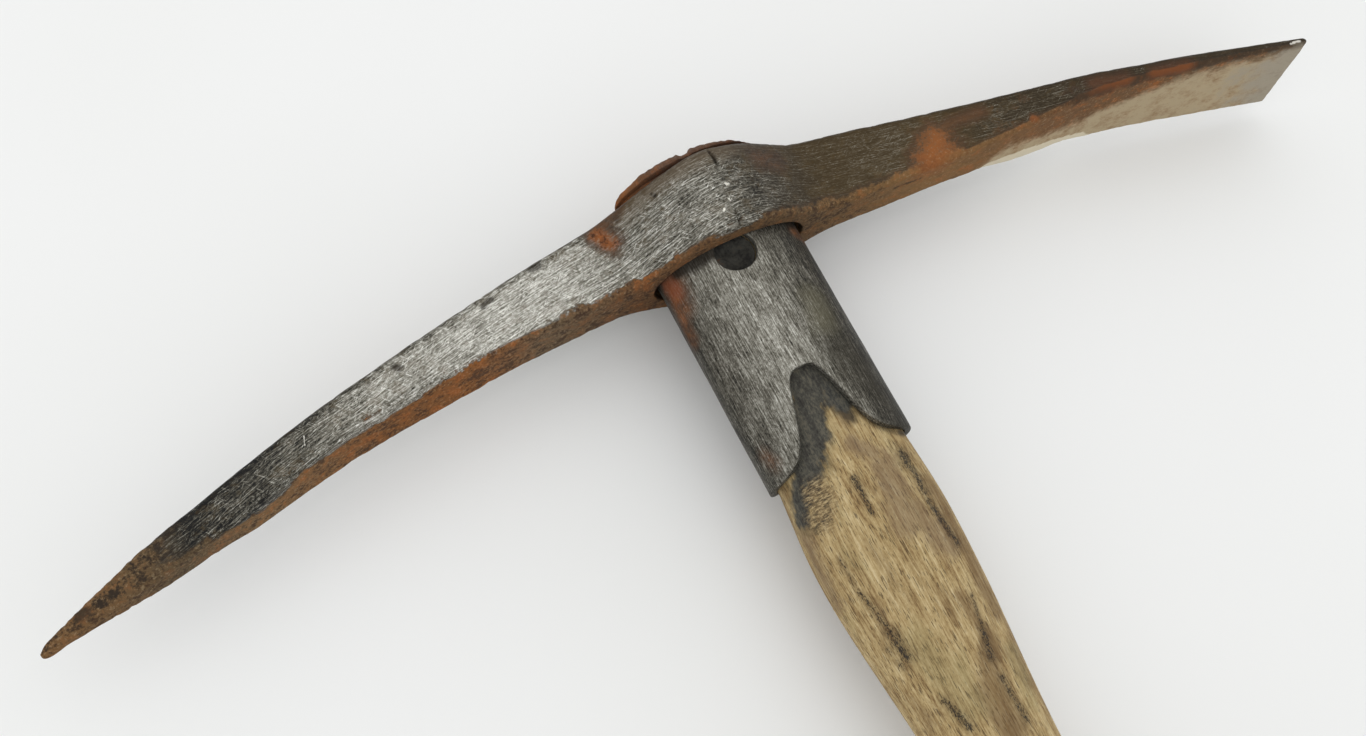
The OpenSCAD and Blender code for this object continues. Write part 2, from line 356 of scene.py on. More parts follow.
shaved_lumps = (26, 120, 26)
shaved_depth = 0.5
grain_lumps = (2.6, 70, 2.6)
grain_depth = 0.16
scuff_depth = 0.5
scuff_lumps = (1.6, 3.5, 1.6)
scuff_level = 0.35
scuff_border = 0.6
# Inside the ferrule the wood only shrinks away from the steel
dry_gap = 0.05
dry_y = tongue_y - 4


def worn_wood(x, y, z):
    """How far the wood stands out from its shaved oval here, in millimetres."""
    place = Vector((x, y, z))
    lift = shaved_depth * lumps(place, shaved_lumps) + grain_depth * lumps(place, grain_lumps)
    for start, end, width in scuffs:
        far = reach(place, start, end) / (width + scuff_border)
        if far < 1:
            lift -= scuff_depth * (1 - far * far) * max(0, scuff_level + lumps(place, scuff_lumps))
    return lift if y < dry_y else min(0, lift) - dry_gap


def outwards(turn, half_w, half_t):
    """The way straight out of an oval at a turn round it."""
    return Vector((math.cos(turn) / half_w, 0, math.sin(turn) / half_t)).normalized()


def rounded_rows(radius, turns_deg):
    """How far the rows of a round end lie from its tip."""
    return [radius * (1 - math.sin(math.radians(turn))) for turn in turns_deg]


# Rows lie closest together from the ferrule's mouth to the end of the scuffed stretch
mouth_top_y = tongue_y + 40
near_y = tongue_y - 190
hidden_row = 4
close_row = 1.25
grip_row = 3.5
helve_rows = (
    steps(helve_top, mouth_top_y, hidden_row)
    + steps(mouth_top_y, near_y, close_row)
    + steps(near_y, butt_y + butt_round, grip_row)
    + [butt_y + off for off in rounded_rows(butt_round, (0, 18, 36, 54, 72, 84, 90))]
)
helve_rings = []
for y in helve_rows:
    half_w, half_t = helve_half(y)
    bow = along_curve(helve_bow, 1, max(0, tongue_y - y))
    ring = []
    for i in range(helve_sides):
        turn = -2 * math.pi * i / helve_sides
        spot = Vector((half_w * math.cos(turn) + bow, y, half_t * math.sin(turn)))
        ring.append(spot + outwards(turn, half_w, half_t) * worn_wood(*spot))
    helve_rings.append(ring)
ash_helve = new_piece("ash_helve", *skin(helve_rings))

# The wood is bored and sunk for the rivet and its two heads
rivet_low, rivet_high = (from_eye(corner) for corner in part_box("ferrule_rivet"))
rivet_centre = (rivet_low + rivet_high) / 2
rivet_radius = (rivet_high.x - rivet_low.x) / 2
rivet_face_z = rivet_high.z
rivet_head_thick = 3.2
rivet_shank = 4.0
rivet_gap = 0.2
seat_z = rivet_face_z - rivet_head_thick - rivet_gap
seat_past = 30
seat_profile = [
    (rivet_radius + rivet_gap, seat_past),
    (rivet_radius + rivet_gap, seat_z),
    (rivet_shank + rivet_gap, seat_z),
    (rivet_shank + rivet_gap, -seat_z),
    (rivet_radius + rivet_gap, -seat_z),
    (rivet_radius + rivet_gap, -seat_past),
]
cut_out(ash_helve, turned("rivet_seat", seat_profile, rivet_centre))
smooth_skin(ash_helve, 50)


def reckon(tree, task, first, second=0.0):
    """A sum on one or two values."""
    return put(tree, "Math", {0: first, 1: second}, operation=task).outputs[0]


def spread(tree, value, low, high, out_low=0.0, out_high=1.0):
    """A smooth rise of a value between two levels, or a fall where the first is higher."""
    feeds = {"Value": value, "From Min": low, "From Max": high, "To Min": out_low, "To Max": out_high}
    return put(tree, "MapRange", feeds, interpolation_type="SMOOTHSTEP").outputs[0]


def tint(tree, amount, under, over):
    """One colour laid over another."""
    return put(tree, "Mix", {0: amount, 6: under, 7: over}, data_type="RGBA").outputs[2]


def new_effect(name, takes, gives):
    """A shader node group with named sockets, for an effect that several finishes share."""
    effect = bpy.data.node_groups.new(name, "ShaderNodeTree")
    for title, kind in takes.items():
        effect.interface.new_socket(title, in_out="INPUT", socket_type="NodeSocket" + kind)
    for title, kind in gives.items():
        effect.interface.new_socket(title, in_out="OUTPUT", socket_type="NodeSocket" + kind)
    return effect, effect.nodes.new("NodeGroupInput").outputs, effect.nodes.new("NodeGroupOutput").inputs


def vector(tree, task, first, second):
    """A sum on two vectors."""
    return put(tree, "VectorMath", {0: first, 1: second}, operation=task)


# A mark is a stain, scuff, rust patch, painted shade or painted glint along a stroke on the surface, with an
# edge that a cloud breaks up
mark_effect, given, result = new_effect(
    "mark",
    {
        "Place": "Vector",
        "From": "Vector",
        "To": "Vector",
        "Width": "Float",
        "Cloud": "Float",
        "Ragged": "Float",
        "Soft": "Float",
    },
    {"Mask": "Float"},
)
from_start = vector(mark_effect, "SUBTRACT", given["Place"], given["From"]).outputs[0]
stroke_run = vector(mark_effect, "SUBTRACT", given["To"], given["From"]).outputs[0]
stroke_part = reckon(
    mark_effect,
    "DIVIDE",
    vector(mark_effect, "DOT_PRODUCT", from_start, stroke_run).outputs["Value"],
    vector(mark_effect, "DOT_PRODUCT", stroke_run, stroke_run).outputs["Value"],
)
stroke_part = put(mark_effect, "Clamp", {"Value": stroke_part}).outputs[0]
along_feeds = {0: stroke_run, "Scale": stroke_part}
along_stroke = put(mark_effect, "VectorMath", along_feeds, operation="SCALE").outputs[0]
off_stroke = vector(mark_effect, "SUBTRACT", from_start, along_stroke).outputs[0]
how_far = put(mark_effect, "VectorMath", {0: off_stroke}, operation="LENGTH").outputs["Value"]
shake = reckon(mark_effect, "SUBTRACT", given["Cloud"], 0.5)
shake = reckon(mark_effect, "MULTIPLY", shake, given["Ragged"])
shaken = reckon(mark_effect, "ADD", reckon(mark_effect, "DIVIDE", how_far, given["Width"]), shake)
outer_edge = reckon(mark_effect, "ADD", 1.0, given["Soft"])
inner_edge = reckon(mark_effect, "SUBTRACT", 1.0, given["Soft"])
mark_effect.links.new(spread(mark_effect, shaken, outer_edge, inner_edge), result["Mask"])


least_stroke = Vector((0, 0.01, 0))


def marks(tree, place, broken_by, ragged, soft, strokes):
    """The masks of several strokes together. Each has two ends and a half width in millimetres."""
    total = None
    for start, end, width in strokes:
        feeds = {
            "Place": place,
            "From": Vector(start) * mm,
            "To": (Vector(end) + least_stroke) * mm,
            "Width": width * mm,
            "Cloud": broken_by,
            "Ragged": ragged,
            "Soft": soft,
        }
        mask = put(tree, "Group", feeds, node_tree=mark_effect).outputs["Mask"]
        total = mask if total is None else reckon(tree, "MAXIMUM", total, mask)
    return total


def sway(tree, level, *swings):
    """A level that noises swing: each swing is a noise about 0.5, and its weight."""
    for noisy, weight in swings:
        swing = reckon(tree, "MULTIPLY", reckon(tree, "SUBTRACT", noisy, 0.5), weight)
        level = reckon(tree, "ADD", level, swing)
    return level


def share(tree, mask, most):
    """A mask cut down to a share, which is a value or another mask."""
    return reckon(tree, "MULTIPLY", mask, most)


def wider(strokes, times):
    """Strokes with their widths multiplied."""
    return [(start, end, width * times) for start, end, width in strokes]


def roughen(tree, shader, strength, depth, height):
    """Bumps a finish by a height, which reaches a depth in millimetres."""
    feeds = {"Strength": strength, "Distance": depth * mm, "Height": height}
    tree.links.new(put(tree, "Bump", feeds).outputs[0], shader.inputs["Normal"])


def overlaid(tree, place, colour, overlays):
    """A colour with marks laid over it, one after another: stains and dirt, and painted shade and glints.
    Each has strokes, the noise that breaks them up, how ragged and how soft they are, a strength and a
    colour."""
    for strokes, broken_by, ragged, soft, strength, over in overlays:
        mask = marks(tree, place, broken_by, ragged, soft, strokes)
        colour = tint(tree, share(tree, mask, strength), colour, over)
    return colour


ash_tones = (
    (0.08, paint(92, 70, 44)),
    (0.3, paint(130, 105, 68)),
    (0.5, paint(163, 140, 97)),
    (0.7, paint(184, 163, 120)),
    (0.92, paint(206, 188, 148)),
)
crack_brown = paint(66, 50, 34)
stain_brown = paint(104, 80, 50)
stain_purple = paint(112, 92, 72)
stain_green = paint(140, 132, 92)
rim_dirt_and_shade = paint(66, 56, 42)
stain_olive = paint(104, 92, 62)
scuff_black = paint(36, 34, 33)

ash_wood, tree, shader = new_finish("ash_wood")
coords = put(tree, "TexCoord")
place = coords.outputs["Object"]
fine = cloud(tree, place, (0.55, 12, 0.55), 2.0, 0.6)
strand = cloud(tree, place, (2.2, 40, 2.2), 4.0, 0.6)
band = cloud(tree, place, (8, 170, 8), 3.0)
fuzz = cloud(tree, place, (0.8, 1.5, 0.8), 4.0, 0.7)
mottle = cloud(tree, place, (3.0, 8.0, 3.0), 4.0, 0.65)
drift = cloud(tree, place, (11, 34, 11), 4.0)
blotch = cloud(tree, place, (4, 7, 4), 5.0, 0.65)
wood_tone = sway(tree, 0.53, (fine, 0.95), (strand, 0.6), (band, 0.6), (fuzz, 0.5), (mottle, 0.55))
wood_colour = ramp(tree, wood_tone, ash_tones)
dashes = spread(tree, cloud(tree, place, (0.45, 5, 0.45), 1.0), 0.61, 0.7)
wood_colour = tint(tree, share(tree, dashes, 0.7), wood_colour, crack_brown)
wood_colour = tint(tree, spread(tree, drift, 0.52, 0.68, 0.0, 0.55), wood_colour, stain_brown)
wood_colour = tint(tree, spread(tree, drift, 0.44, 0.3, 0.0, 0.18), wood_colour, stain_green)

# Stains in the wood, one over another, and a dark line along the mouth's edge that is dirt with painted
# shade. Each stroke has two ends and a half width
brown_strokes = [
    ((11, -178, 17.5), (0, -196, 18.3), 4.5),
    ((0, -196, 18.3), (2, -212, 18), 6.0),
    ((23, -118, 12), (20, -170, 11), 4.5),
    ((8, -160, 19), (11, -178, 17.5), 2.5),
    ((14, -104, -18), (10, -180, -17), 8.0),
    ((-16, -110, -17), (-14, -170, -15), 6.0),
]
purple_strokes = [
    ((9, -104, 18.8), (4, -128, 20), 6.0),
    ((9, -124, 19.4), (14, -142, 17.6), 5.0),
    ((1, -92, 18), (6, -99, 18.4), 3.5),
    ((-28, -112, 6), (-28, -142, 3), 3.5),
]
green_strokes = [((-14, -168, 16), (-9, -196, 17.5), 6.5), ((18, -186, 12), (14, -205, 13), 4.0)]
slate_strokes = [
    ((-4, -54, 18), (-4, -66, 18), 9.0),
    ((-6, -68, 18), (-12, -84, 17), 6.5),
    ((-13, -84, 16), (-20, -96, 13), 6.0),
    ((-22, -96, 11), (-26, -107, 7), 4.5),
    ((3, -62, 18), (6, -76, 18), 4.0),
    ((-3, -54, -18), (-4, -80, -18), 9.0),
    ((-10, -86, -17), (12, -92, -17), 6.0),
    ((-28, -97, -6), (28, -97, -6), 3.0),
]
# A dark line on the wood along the mouth's edge on the chisel's side: dirt in the corner, with painted shade
# under the ferrule's edge
rim_dirt_and_shade_strokes = [
    ((4, -70, 18), (5, -81, 18), 3.6),
    ((6, -67, 18.5), (10, -81.5, 18), 1.8),
    ((10, -81.5, 18), (15, -90, 16.8), 1.7),
    ((15, -90, 16.8), (22, -94, 13), 1.6),
    ((22, -94, 13), (28, -95, 4), 1.5),
]
wood_stains_and_rim_shade = [
    (brown_strokes, blotch, 1.8, 0.55, 0.62, stain_brown),
    (purple_strokes, blotch, 2.2, 0.6, 0.55, stain_purple),
    (green_strokes, blotch, 1.8, 0.6, 0.28, stain_green),
    (wider(slate_strokes, 1.45), blotch, 2.4, 0.5, 0.5, stain_olive),
    (rim_dirt_and_shade_strokes, blotch, 1.6, 0.6, 0.9, rim_dirt_and_shade),
]
wood_colour = overlaid(tree, place, wood_colour, wood_stains_and_rim_shade)
# Slate-black stain under the ferrule's mouth
slate = marks(tree, place, blotch, 1.8, 0.3, slate_strokes)
slate_tones = ((0.36, paint(42, 42, 41)), (0.5, paint(61, 62, 58)), (0.64, paint(84, 81, 72)))
slate_colour = ramp(tree, sway(tree, 0.5, (fuzz, 0.9), (mottle, 0.7), (strand, 0.4)), slate_tones)
wood_colour = tint(tree, share(tree, slate, 0.95), wood_colour, slate_colour)

# Splintered wood below the tongue on the point's side
splinter_place = ((-19, -103, 14.6), (-21.5, -110, 13.2), 5.5)
splinter = marks(tree, place, blotch, 2.4, 0.6, [splinter_place])
chips = cloud(tree, place, (2.4, 0.8, 2.4), 5.0, 0.7)
chip_tones = ((0.4, paint(40, 36, 32)), (0.5, paint(120, 100, 70)), (0.62, paint(184, 164, 124)))
wood_colour = tint(tree, share(tree, splinter, 0.8), wood_colour, ramp(tree, chips, chip_tones))

# Scuffs: a brown halo, and black specks that the grain breaks up
hatch = cloud(tree, place, (0.5, 1.3, 0.5), 5.0, 0.8)
scuffed = marks(tree, place, mottle, 1.6, 0.9, wider(scuffs, 1.35))
wood_colour = tint(tree, share(tree, scuffed, 0.42), wood_colour, crack_brown)
black = spread(tree, sway(tree, scuffed, (hatch, 3.2), (mottle, 1.2)), 0.84, 1.12)
black = share(tree, black, spread(tree, scuffed, 0.02, 0.2))
wood_colour = tint(tree, share(tree, black, 0.9), wood_colour, scuff_black)

# Year rings on the sawn ends, about the pith of the tree
pith = (26, 0, -22)
across = split(tree, coords.outputs["Normal"])["Y"]
end_grain = spread(tree, reckon(tree, "ABSOLUTE", across), 0.75, 0.92)
flat_place = vector(tree, "MULTIPLY", place, (1, 0, 1)).outputs[0]
ring_place = vector(tree, "SUBTRACT", flat_place, Vector(pith) * mm).outputs[0]
ring_feeds = {"Vector": ring_place, "Scale": 230.0, "Distortion": 1.2, "Detail": 2.0, "Detail Scale": 1.0}
year_rings = put(tree, "TexWave", ring_feeds, wave_type="RINGS", rings_direction="SPHERICAL").outputs["Fac"]
end_tones = ((0.2, paint(70, 55, 38)), (0.8, paint(134, 112, 78)))
wood_colour = tint(tree, end_grain, wood_colour, ramp(tree, year_rings, end_tones))
tree.links.new(wood_colour, shader.inputs["Base Color"])
tree.links.new(spread(tree, fine, 0.3, 0.7, 0.8, 0.64), shader.inputs["Roughness"])
shader.inputs["Specular IOR Level"].default_value = 0.25
wood_height = sway(tree, 0.0, (fine, 0.7), (strand, 0.8), (fuzz, 0.5), (dashes, -0.9), (black, -0.6))
wood_height = sway(tree, wood_height, (share(tree, splinter, chips), 1.6))
roughen(tree, shader, 0.7, 0.35, wood_height)
ash_helve.data.materials.clear()
ash_helve.data.materials.append(ash_wood)
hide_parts("helve")
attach(ash_helve, "helve")

# The ferrule is a welded oval sleeve of 3 mm steel, driven over the top of the helve. It flares through the
# head's eye, and its rim is hammered over above the crown. Below, a bell-shaped mouth is cut between two
# tongues on each broad side. Its steel is dark, scratched along by heads sliding over it.
mouth_depth = 37
mouth_half = 11.5
mouth_x = -3
edge_round = 0.55
ferrule_sides = 320
lip_ragged = 0.35
lip_lumps = (6, 6, 6)
lip_chips = (1.9, 1.9, 1.9)
chip_share = 0.9
least_height = 0.3
least_spread = 0.1
ragged_spread = 0.6
notch_turn_deg = 98
notch_wide_deg = 4.4
notch_depth = 1.3


def mouth_edge(x):
    """Height of the sleeve's lower edge, which rises over the two mouths."""
    return tongue_y + mouth_depth / (1 + abs((x - mouth_x) / mouth_half) ** 4)


def sleeve_point(turn, y, inset):
    """A place on the sleeve, taken in from its outside."""
    half_w, half_t = sleeve_half(y, inset)
    return Vector((half_w * math.cos(turn), y, half_t * math.sin(turn)))


def edge_point(turn):
    """A place on the sleeve's curved lower edge."""
    half_w, half_t = sleeve_half(0, 0)
    x = half_w * math.cos(turn)
    return Vector((x, mouth_edge(x), half_t * math.sin(turn)))


def even_turns(count):
    """Turns round the sleeve that are evenly spaced along its curved lower edge."""
    fine = 6000
    spots = [edge_point(-2 * math.pi * i / fine) for i in range(fine + 1)]
    run = [0.0]
    for before, after in zip(spots, spots[1:]):
        run.append(run[-1] + (after - before).length)
    turns = []
    i = 0
    for k in range(count):
        while run[i + 1] < run[-1] * k / count:
            i += 1
        part = (run[-1] * k / count - run[i]) / (run[i + 1] - run[i])
        turns.append(-2 * math.pi * (i + part) / fine)
    return turns


# The hammered lip by the turn round the rim: its height over the crown, and its spread
lip_stations = [
    (0, 0.4, 0.2),
    (45, 0.3, 1.6),
    (58, 0.8, 3.0),
    (65, 1.6, 3.8),
    (81, 3.1, 4.2),
    (93, 4.0, 4.2),
    (110, 3.9, 3.8),
    (130, 3.9, 2.8),
    (147, 3.4, 2.2),
    (154, 3.2, 1.8),
    (160, 2.3, 1.5),
    (166, 1.3, 1.0),
    (171, 0.5, 0.4),
    (180, 0.4, 0.2),
    (230, 1.8, 2.4),
    (300, 1.6, 2.4),
    (360, 0.4, 0.2),
]
# The lip's round, as shares of that height and spread, and the way down to its inner edge
lip_round = [(0.03, 0.1), (0.11, 0.6), (0.24, 0.92), (0.46, 1.0), (0.72, 0.9), (0.92, 0.6), (1.0, 0.2)]
lip_inside = [(0.97, 1.0), (0.8, 2.2), (0.4, 3.0)]


def lip_size(turn):
    """Height and spread of the lip at a turn: ragged all round, and split by one notch."""
    turn_deg = math.degrees(turn) % 360
    base = sleeve_point(turn, eye_depth, 0)
    wander = lumps(base, lip_lumps) + chip_share * lumps(base, lip_chips)
    notch = max(0, 1 - ((turn_deg - notch_turn_deg) / notch_wide_deg) ** 4)
    height, spread_by = [along_curve(lip_stations, column, turn_deg) for column in (1, 2)]
    ragged = lip_ragged * wander * min(1, height)
    height += ragged - notch_depth * notch
    spread_by += ragged_spread * ragged - notch
    return max(least_height, height), max(least_spread, spread_by)


def lip_point(turn, up, out):
    """A place on the lip, up from the crown and out from the sleeve."""
    side = outwards(turn, *sleeve_half(eye_depth, 0))
    return sleeve_point(turn, eye_depth, 0) + side * out + Vector((0, up, 0))


dent_lumps = (14, 24, 14)
dent_depth = 0.16
small_dent_lumps = (4, 6, 4)
small_dent_depth = 0.05
below_eye = -6


def ferrule_dents(spot):
    """The sleeve's hammered unevenness; in the eye it only goes inwards."""
    dent = dent_depth * lumps(spot, dent_lumps) + small_dent_depth * lumps(spot, small_dent_lumps)
    return dent if spot.y < below_eye else min(0, dent)


edge_step = 0.002
below_lip = 1
eye_row = 2.5
sleeve_rows = 59
inner_rows = 12
inner_eye_row = 4
ferrule_columns = []
for turn in even_turns(ferrule_sides):
    spot = edge_point(turn)
    ahead = edge_point(turn + edge_step)
    behind = edge_point(turn - edge_step)
    out = outwards(turn, *sleeve_half(0, 0))
    # Rows run straight up the sleeve, so a step in from a steep edge is a longer step up
    into_sheet = Vector((0, 1 / math.sqrt(1 - (ahead - behind).normalized().y ** 2), 0))
    through = sleeve_point(turn, spot.y, ferrule_wall) - sleeve_point(turn, spot.y, 0)
    through_way = through.normalized()
    lip_height, lip_spread = lip_size(turn)
    column = [lip_point(turn, up * lip_height, -inwards) for up, inwards in reversed(lip_inside)]
    column += [lip_point(turn, up * lip_height, out_by * lip_spread) for up, out_by in reversed(lip_round)]
    outside = [sleeve_point(turn, y, 0) for y in steps(eye_depth - below_lip, 0, eye_row)]
    lower = spot + into_sheet * edge_round
    outside += [sleeve_point(turn, y, 0) for y in steps(0, lower.y, -lower.y / sleeve_rows)]
    column += [point + out * ferrule_dents(point) for point in outside]
    edges = ((spot, through_way, (0, 30, 60, 90)), (spot + through, -through_way, (90, 45, 0)))
    for corner, way, angles in edges:
        for bend in map(math.radians, angles):
            column.append(
                corner
                + into_sheet * edge_round * (1 - math.sin(bend))
                + way * edge_round * (1 - math.cos(bend))
            )
    inner_low = column[-1].y
    inner = steps(inner_low, 0, -inner_low / inner_rows)[1:] + steps(0, eye_depth, inner_eye_row)
    column += [sleeve_point(turn, y, ferrule_wall) for y in inner]
    ferrule_columns.append(column)
ferrule_rings = [list(ring) for ring in zip(*ferrule_columns)]
steel_ferrule = new_piece("steel_ferrule", *skin(ferrule_rings, ends_closed=False))

# The rivet holes are drilled through both broad sides, with their edges dressed round
hole_radius = rivet_radius + rivet_gap
hole_sides = 96
hole_past = 3
# From well above the sleeve to well inside it: how far past the hole's radius, and past the sleeve's face
hole_profile = [
    (1.9, 1.5),
    (0.4, 0.05),
    (0.22, -0.1),
    (0.1, -0.2),
    (0.03, -0.32),
    (0, -0.45),
    (0, -ferrule_wall - hole_past),
]


def hole_cutter(side):
    """A bar that follows the curve of the sleeve, so that the hole's rounded edge is even all round."""
    rings = []
    for out, rise_off in hole_profile:
        ring = []
        for i in range(hole_sides):
            turn = -side * 2 * math.pi * i / hole_sides
            x = rivet_centre.x + (hole_radius + out) * math.cos(turn)
            y = rivet_centre.y + (hole_radius + out) * math.sin(turn)
            half_w, half_t = sleeve_half(y, 0)
            ring.append((x, y, side * (half_t * math.sqrt(max(0, 1 - (x / half_w) ** 2)) + rise_off)))
        rings.append(ring)
    return new_piece("hole", *skin(rings))


for side in (1, -1):
    cut_out(steel_ferrule, hole_cutter(side))
smooth_skin(steel_ferrule, 38)

# Rust gives a tone, from black scale to bright orange, and a gritty height
rust_effect, given, result = new_effect(
    "rust", {"Place": "Vector"}, {"Tone": "Float", "Grit": "Float"}
)
rust_broad = cloud(rust_effect, given["Place"], (7, 7, 7), 5.0, 0.6)
rust_fine = cloud(rust_effect, given["Place"], (1.3, 1.3, 1.3), 5.0, 0.7)
broad_part = share(rust_effect, rust_broad, 0.6)
fine_part = share(rust_effect, rust_fine, 0.4)
rust_effect.links.new(reckon(rust_effect, "ADD", broad_part, fine_part), result["Tone"])
rust_effect.links.new(rust_fine, result["Grit"])

# Brushed steel gives streaks along the first axis of a flow, fine grain, bright scratches and dark pits
brushed_effect, given, result = new_effect(
    "brushed",
    {"Flow": "Vector"},
    {"Streak": "Float", "Grain": "Float", "Scratch": "Float", "Pits": "Float"},
)
streak = cloud(brushed_effect, given["Flow"], (9, 0.5, 0.5), 2.0, 0.6)
grain = cloud(brushed_effect, given["Flow"], (1.3, 0.7, 0.7), 2.0, 0.65)
pit = cloud(brushed_effect, given["Flow"], (2.2, 0.9, 0.9), 2.0, 0.6)
scratches = None
for turn_deg, length in ((3, 18), (-6, 15), (13, 10), (42, 6), (-52, 6)):
    scratch_way = put(
        brushed_effect,
        "VectorRotate",
        {"Vector": given["Flow"], "Angle": math.radians(turn_deg)},
        rotation_type="Z_AXIS",
    ).outputs[0]
    scratch = cloud(brushed_effect, scratch_way, (length, 0.35, 0.9), 1.0)
    scratch = spread(brushed_effect, scratch, 0.63, 0.72)
    scratches = scratch if scratches is None else reckon(brushed_effect, "MAXIMUM", scratches, scratch)
brushed_effect.links.new(streak, result["Streak"])
brushed_effect.links.new(grain, result["Grain"])
brushed_effect.links.new(scratches, result["Scratch"])
brushed_effect.links.new(spread(brushed_effect, pit, 0.41, 0.33), result["Pits"])

# Steel from black scale to bare bright metal
steel_tones = (
    (0.0, paint(36, 36, 36)),
    (0.2, paint(66, 64, 58)),
    (0.4, paint(104, 101, 92)),
    (0.6, paint(146, 144, 135)),
    (0.8, paint(186, 185, 177)),
    (1.0, paint(226, 225, 219)),
)
ferrule_smear = paint(112, 108, 88)
ferrule_darkening = paint(54, 51, 43)
# How bright the steel is across the sleeve, from the point's side to the chisel's: darker at the sides, with
# a painted sheen down the middle
rub_and_sheen_stops = (
    (0.0, 0.25),
    (0.12, 0.4),
    (0.28, 0.47),
    (0.45, 0.5),
    (0.6, 0.42),
    (0.74, 0.28),
    (0.88, 0.17),
    (1.0, 0.1),
)


def tone(level):
    """A grey, for a ramp that gives a value."""
    return (level, level, level, 1.0)


def brushed_colour(tree, level, blotch, brushed, streak, grain, pits, scratch):
    """The colour of brushed steel about a level of brightness, with a weight for each kind of mark."""
    bright = sway(tree, level, (blotch, 0.4), (brushed["Streak"], streak), (brushed["Grain"], grain))
    bright = reckon(tree, "SUBTRACT", bright, share(tree, brushed["Pits"], pits))
    bright = reckon(tree, "ADD", bright, share(tree, brushed["Scratch"], scratch))
    return ramp(tree, bright, steel_tones)


def steel_sheen(tree, shader, rust, streak, metal, dull, shiny):
    """How a steel shines: bare, it is metallic, with streaks from dull to shiny, and rust is neither."""
    shader.inputs["Specular IOR Level"].default_value = 0.15
    bare = reckon(tree, "SUBTRACT", 1.0, rust)
    tree.links.new(share(tree, bare, metal), shader.inputs["Metallic"])
    rough = spread(tree, streak, 0.3, 0.7, dull, shiny)
    rough = reckon(tree, "MAXIMUM", rough, share(tree, rust, 0.85))
    tree.links.new(rough, shader.inputs["Roughness"])


rust_dark = paint(58, 42, 32)
rust_brown = paint(98, 64, 40)
rust_orange = paint(150, 88, 42)
lip_brown = paint(92, 66, 52)
lip_orange = paint(132, 86, 50)
eye_dirt_and_shade = paint(36, 30, 23)
eye_orange = paint(168, 92, 56)

ferrule_steel, tree, shader = new_finish("ferrule_steel")
place = put(tree, "TexCoord").outputs["Object"]
parts = split(tree, place)
along_sleeve = put(tree, "CombineXYZ", {0: parts["Y"], 1: parts["X"], 2: parts["Z"]}).outputs[0]
brushed = put(tree, "Group", {"Flow": along_sleeve}, node_tree=brushed_effect).outputs
rusted = put(tree, "Group", {"Place": place}, node_tree=rust_effect).outputs
blotch = cloud(tree, place, (6, 9, 6), 5.0, 0.6)
side_place = reckon(tree, "ADD", reckon(tree, "DIVIDE", parts["X"], 2 * ferrule_stations[0][1] * mm), 0.5)
# Brightness across the sleeve, which carries a painted sheen down its middle
rubbed_and_sheen = ramp(tree, side_place, [(at, tone(level)) for at, level in rub_and_sheen_stops])
steel_colour = brushed_colour(tree, rubbed_and_sheen, blotch, brushed, streak=0.9, grain=0.7, pits=0.12, scratch=0.16)
# A smear on the near side, and the steel darker down the tongue on the chisel's side
sleeve_smear_and_darkening = [
    ([((17, -34, 18), (15, -44, 18.5), 6.0)], blotch, 1.2, 0.7, 0.45, ferrule_smear),
    ([((16, -58, 18), (27, -88, 9), 9.0)], blotch, 1.6, 0.8, 0.55, ferrule_darkening),
]
steel_colour = overlaid(tree, place, steel_colour, sleeve_smear_and_darkening)
# Rust beside the eye, on a tongue and all over the lip, and dark dirt with painted shade below the head,
# where the sleeve goes into the eye
ferrule_rust_strokes = [
    ((-28.6, -3, 8.4), (-29, -12, 7), 6.0),
    ((-30, -14, 4.5), (-30.2, -25, 3.5), 3.6),
    ((26, -3, 12), (30, -6, 6), 3.0),
    ((28, -20, -10), (24, -60, -14), 7.0),
    ((-20, -6, -16), (10, -4, -21), 6.0),
    ((-24, -84, -14), (-10, -66, -20), 5.0),
]
ferrule_rust = marks(tree, place, rusted["Tone"], 3.4, 0.8, ferrule_rust_strokes)
tongue_rust = marks(tree, place, rusted["Tone"], 3.4, 0.9, [((-28.7, -80, 8), (-27.5, -85, 10), 3.2)])
ferrule_rust = reckon(tree, "MAXIMUM", share(tree, ferrule_rust, 0.85), share(tree, tongue_rust, 0.3))
lip_rust = spread(tree, parts["Y"], (eye_depth - 3) * mm, (eye_depth - 0.5) * mm)
ferrule_rust = reckon(tree, "MAXIMUM", ferrule_rust, lip_rust)
rust_colour = ramp(tree, rusted["Tone"], ((0.38, rust_dark), (0.49, rust_brown), (0.6, rust_orange)))
lip_brown_share = share(tree, lip_rust, spread(tree, parts["X"], -28 * mm, -12 * mm, 0.0, 0.65))
rust_colour = tint(tree, lip_brown_share, rust_colour, lip_brown)
lip_orange_share = share(tree, lip_rust, spread(tree, parts["X"], -18 * mm, -28 * mm, 0.0, 0.5))
rust_colour = tint(tree, lip_orange_share, rust_colour, lip_orange)
eye_strokes = [((-30, -2, 5), (-29, -5, 7.5), 4.2)]
rust_colour = overlaid(tree, place, rust_colour, [(eye_strokes, rusted["Tone"], 3.0, 0.8, 0.6, eye_orange)])
steel_colour = tint(tree, share(tree, ferrule_rust, 0.9), steel_colour, rust_colour)
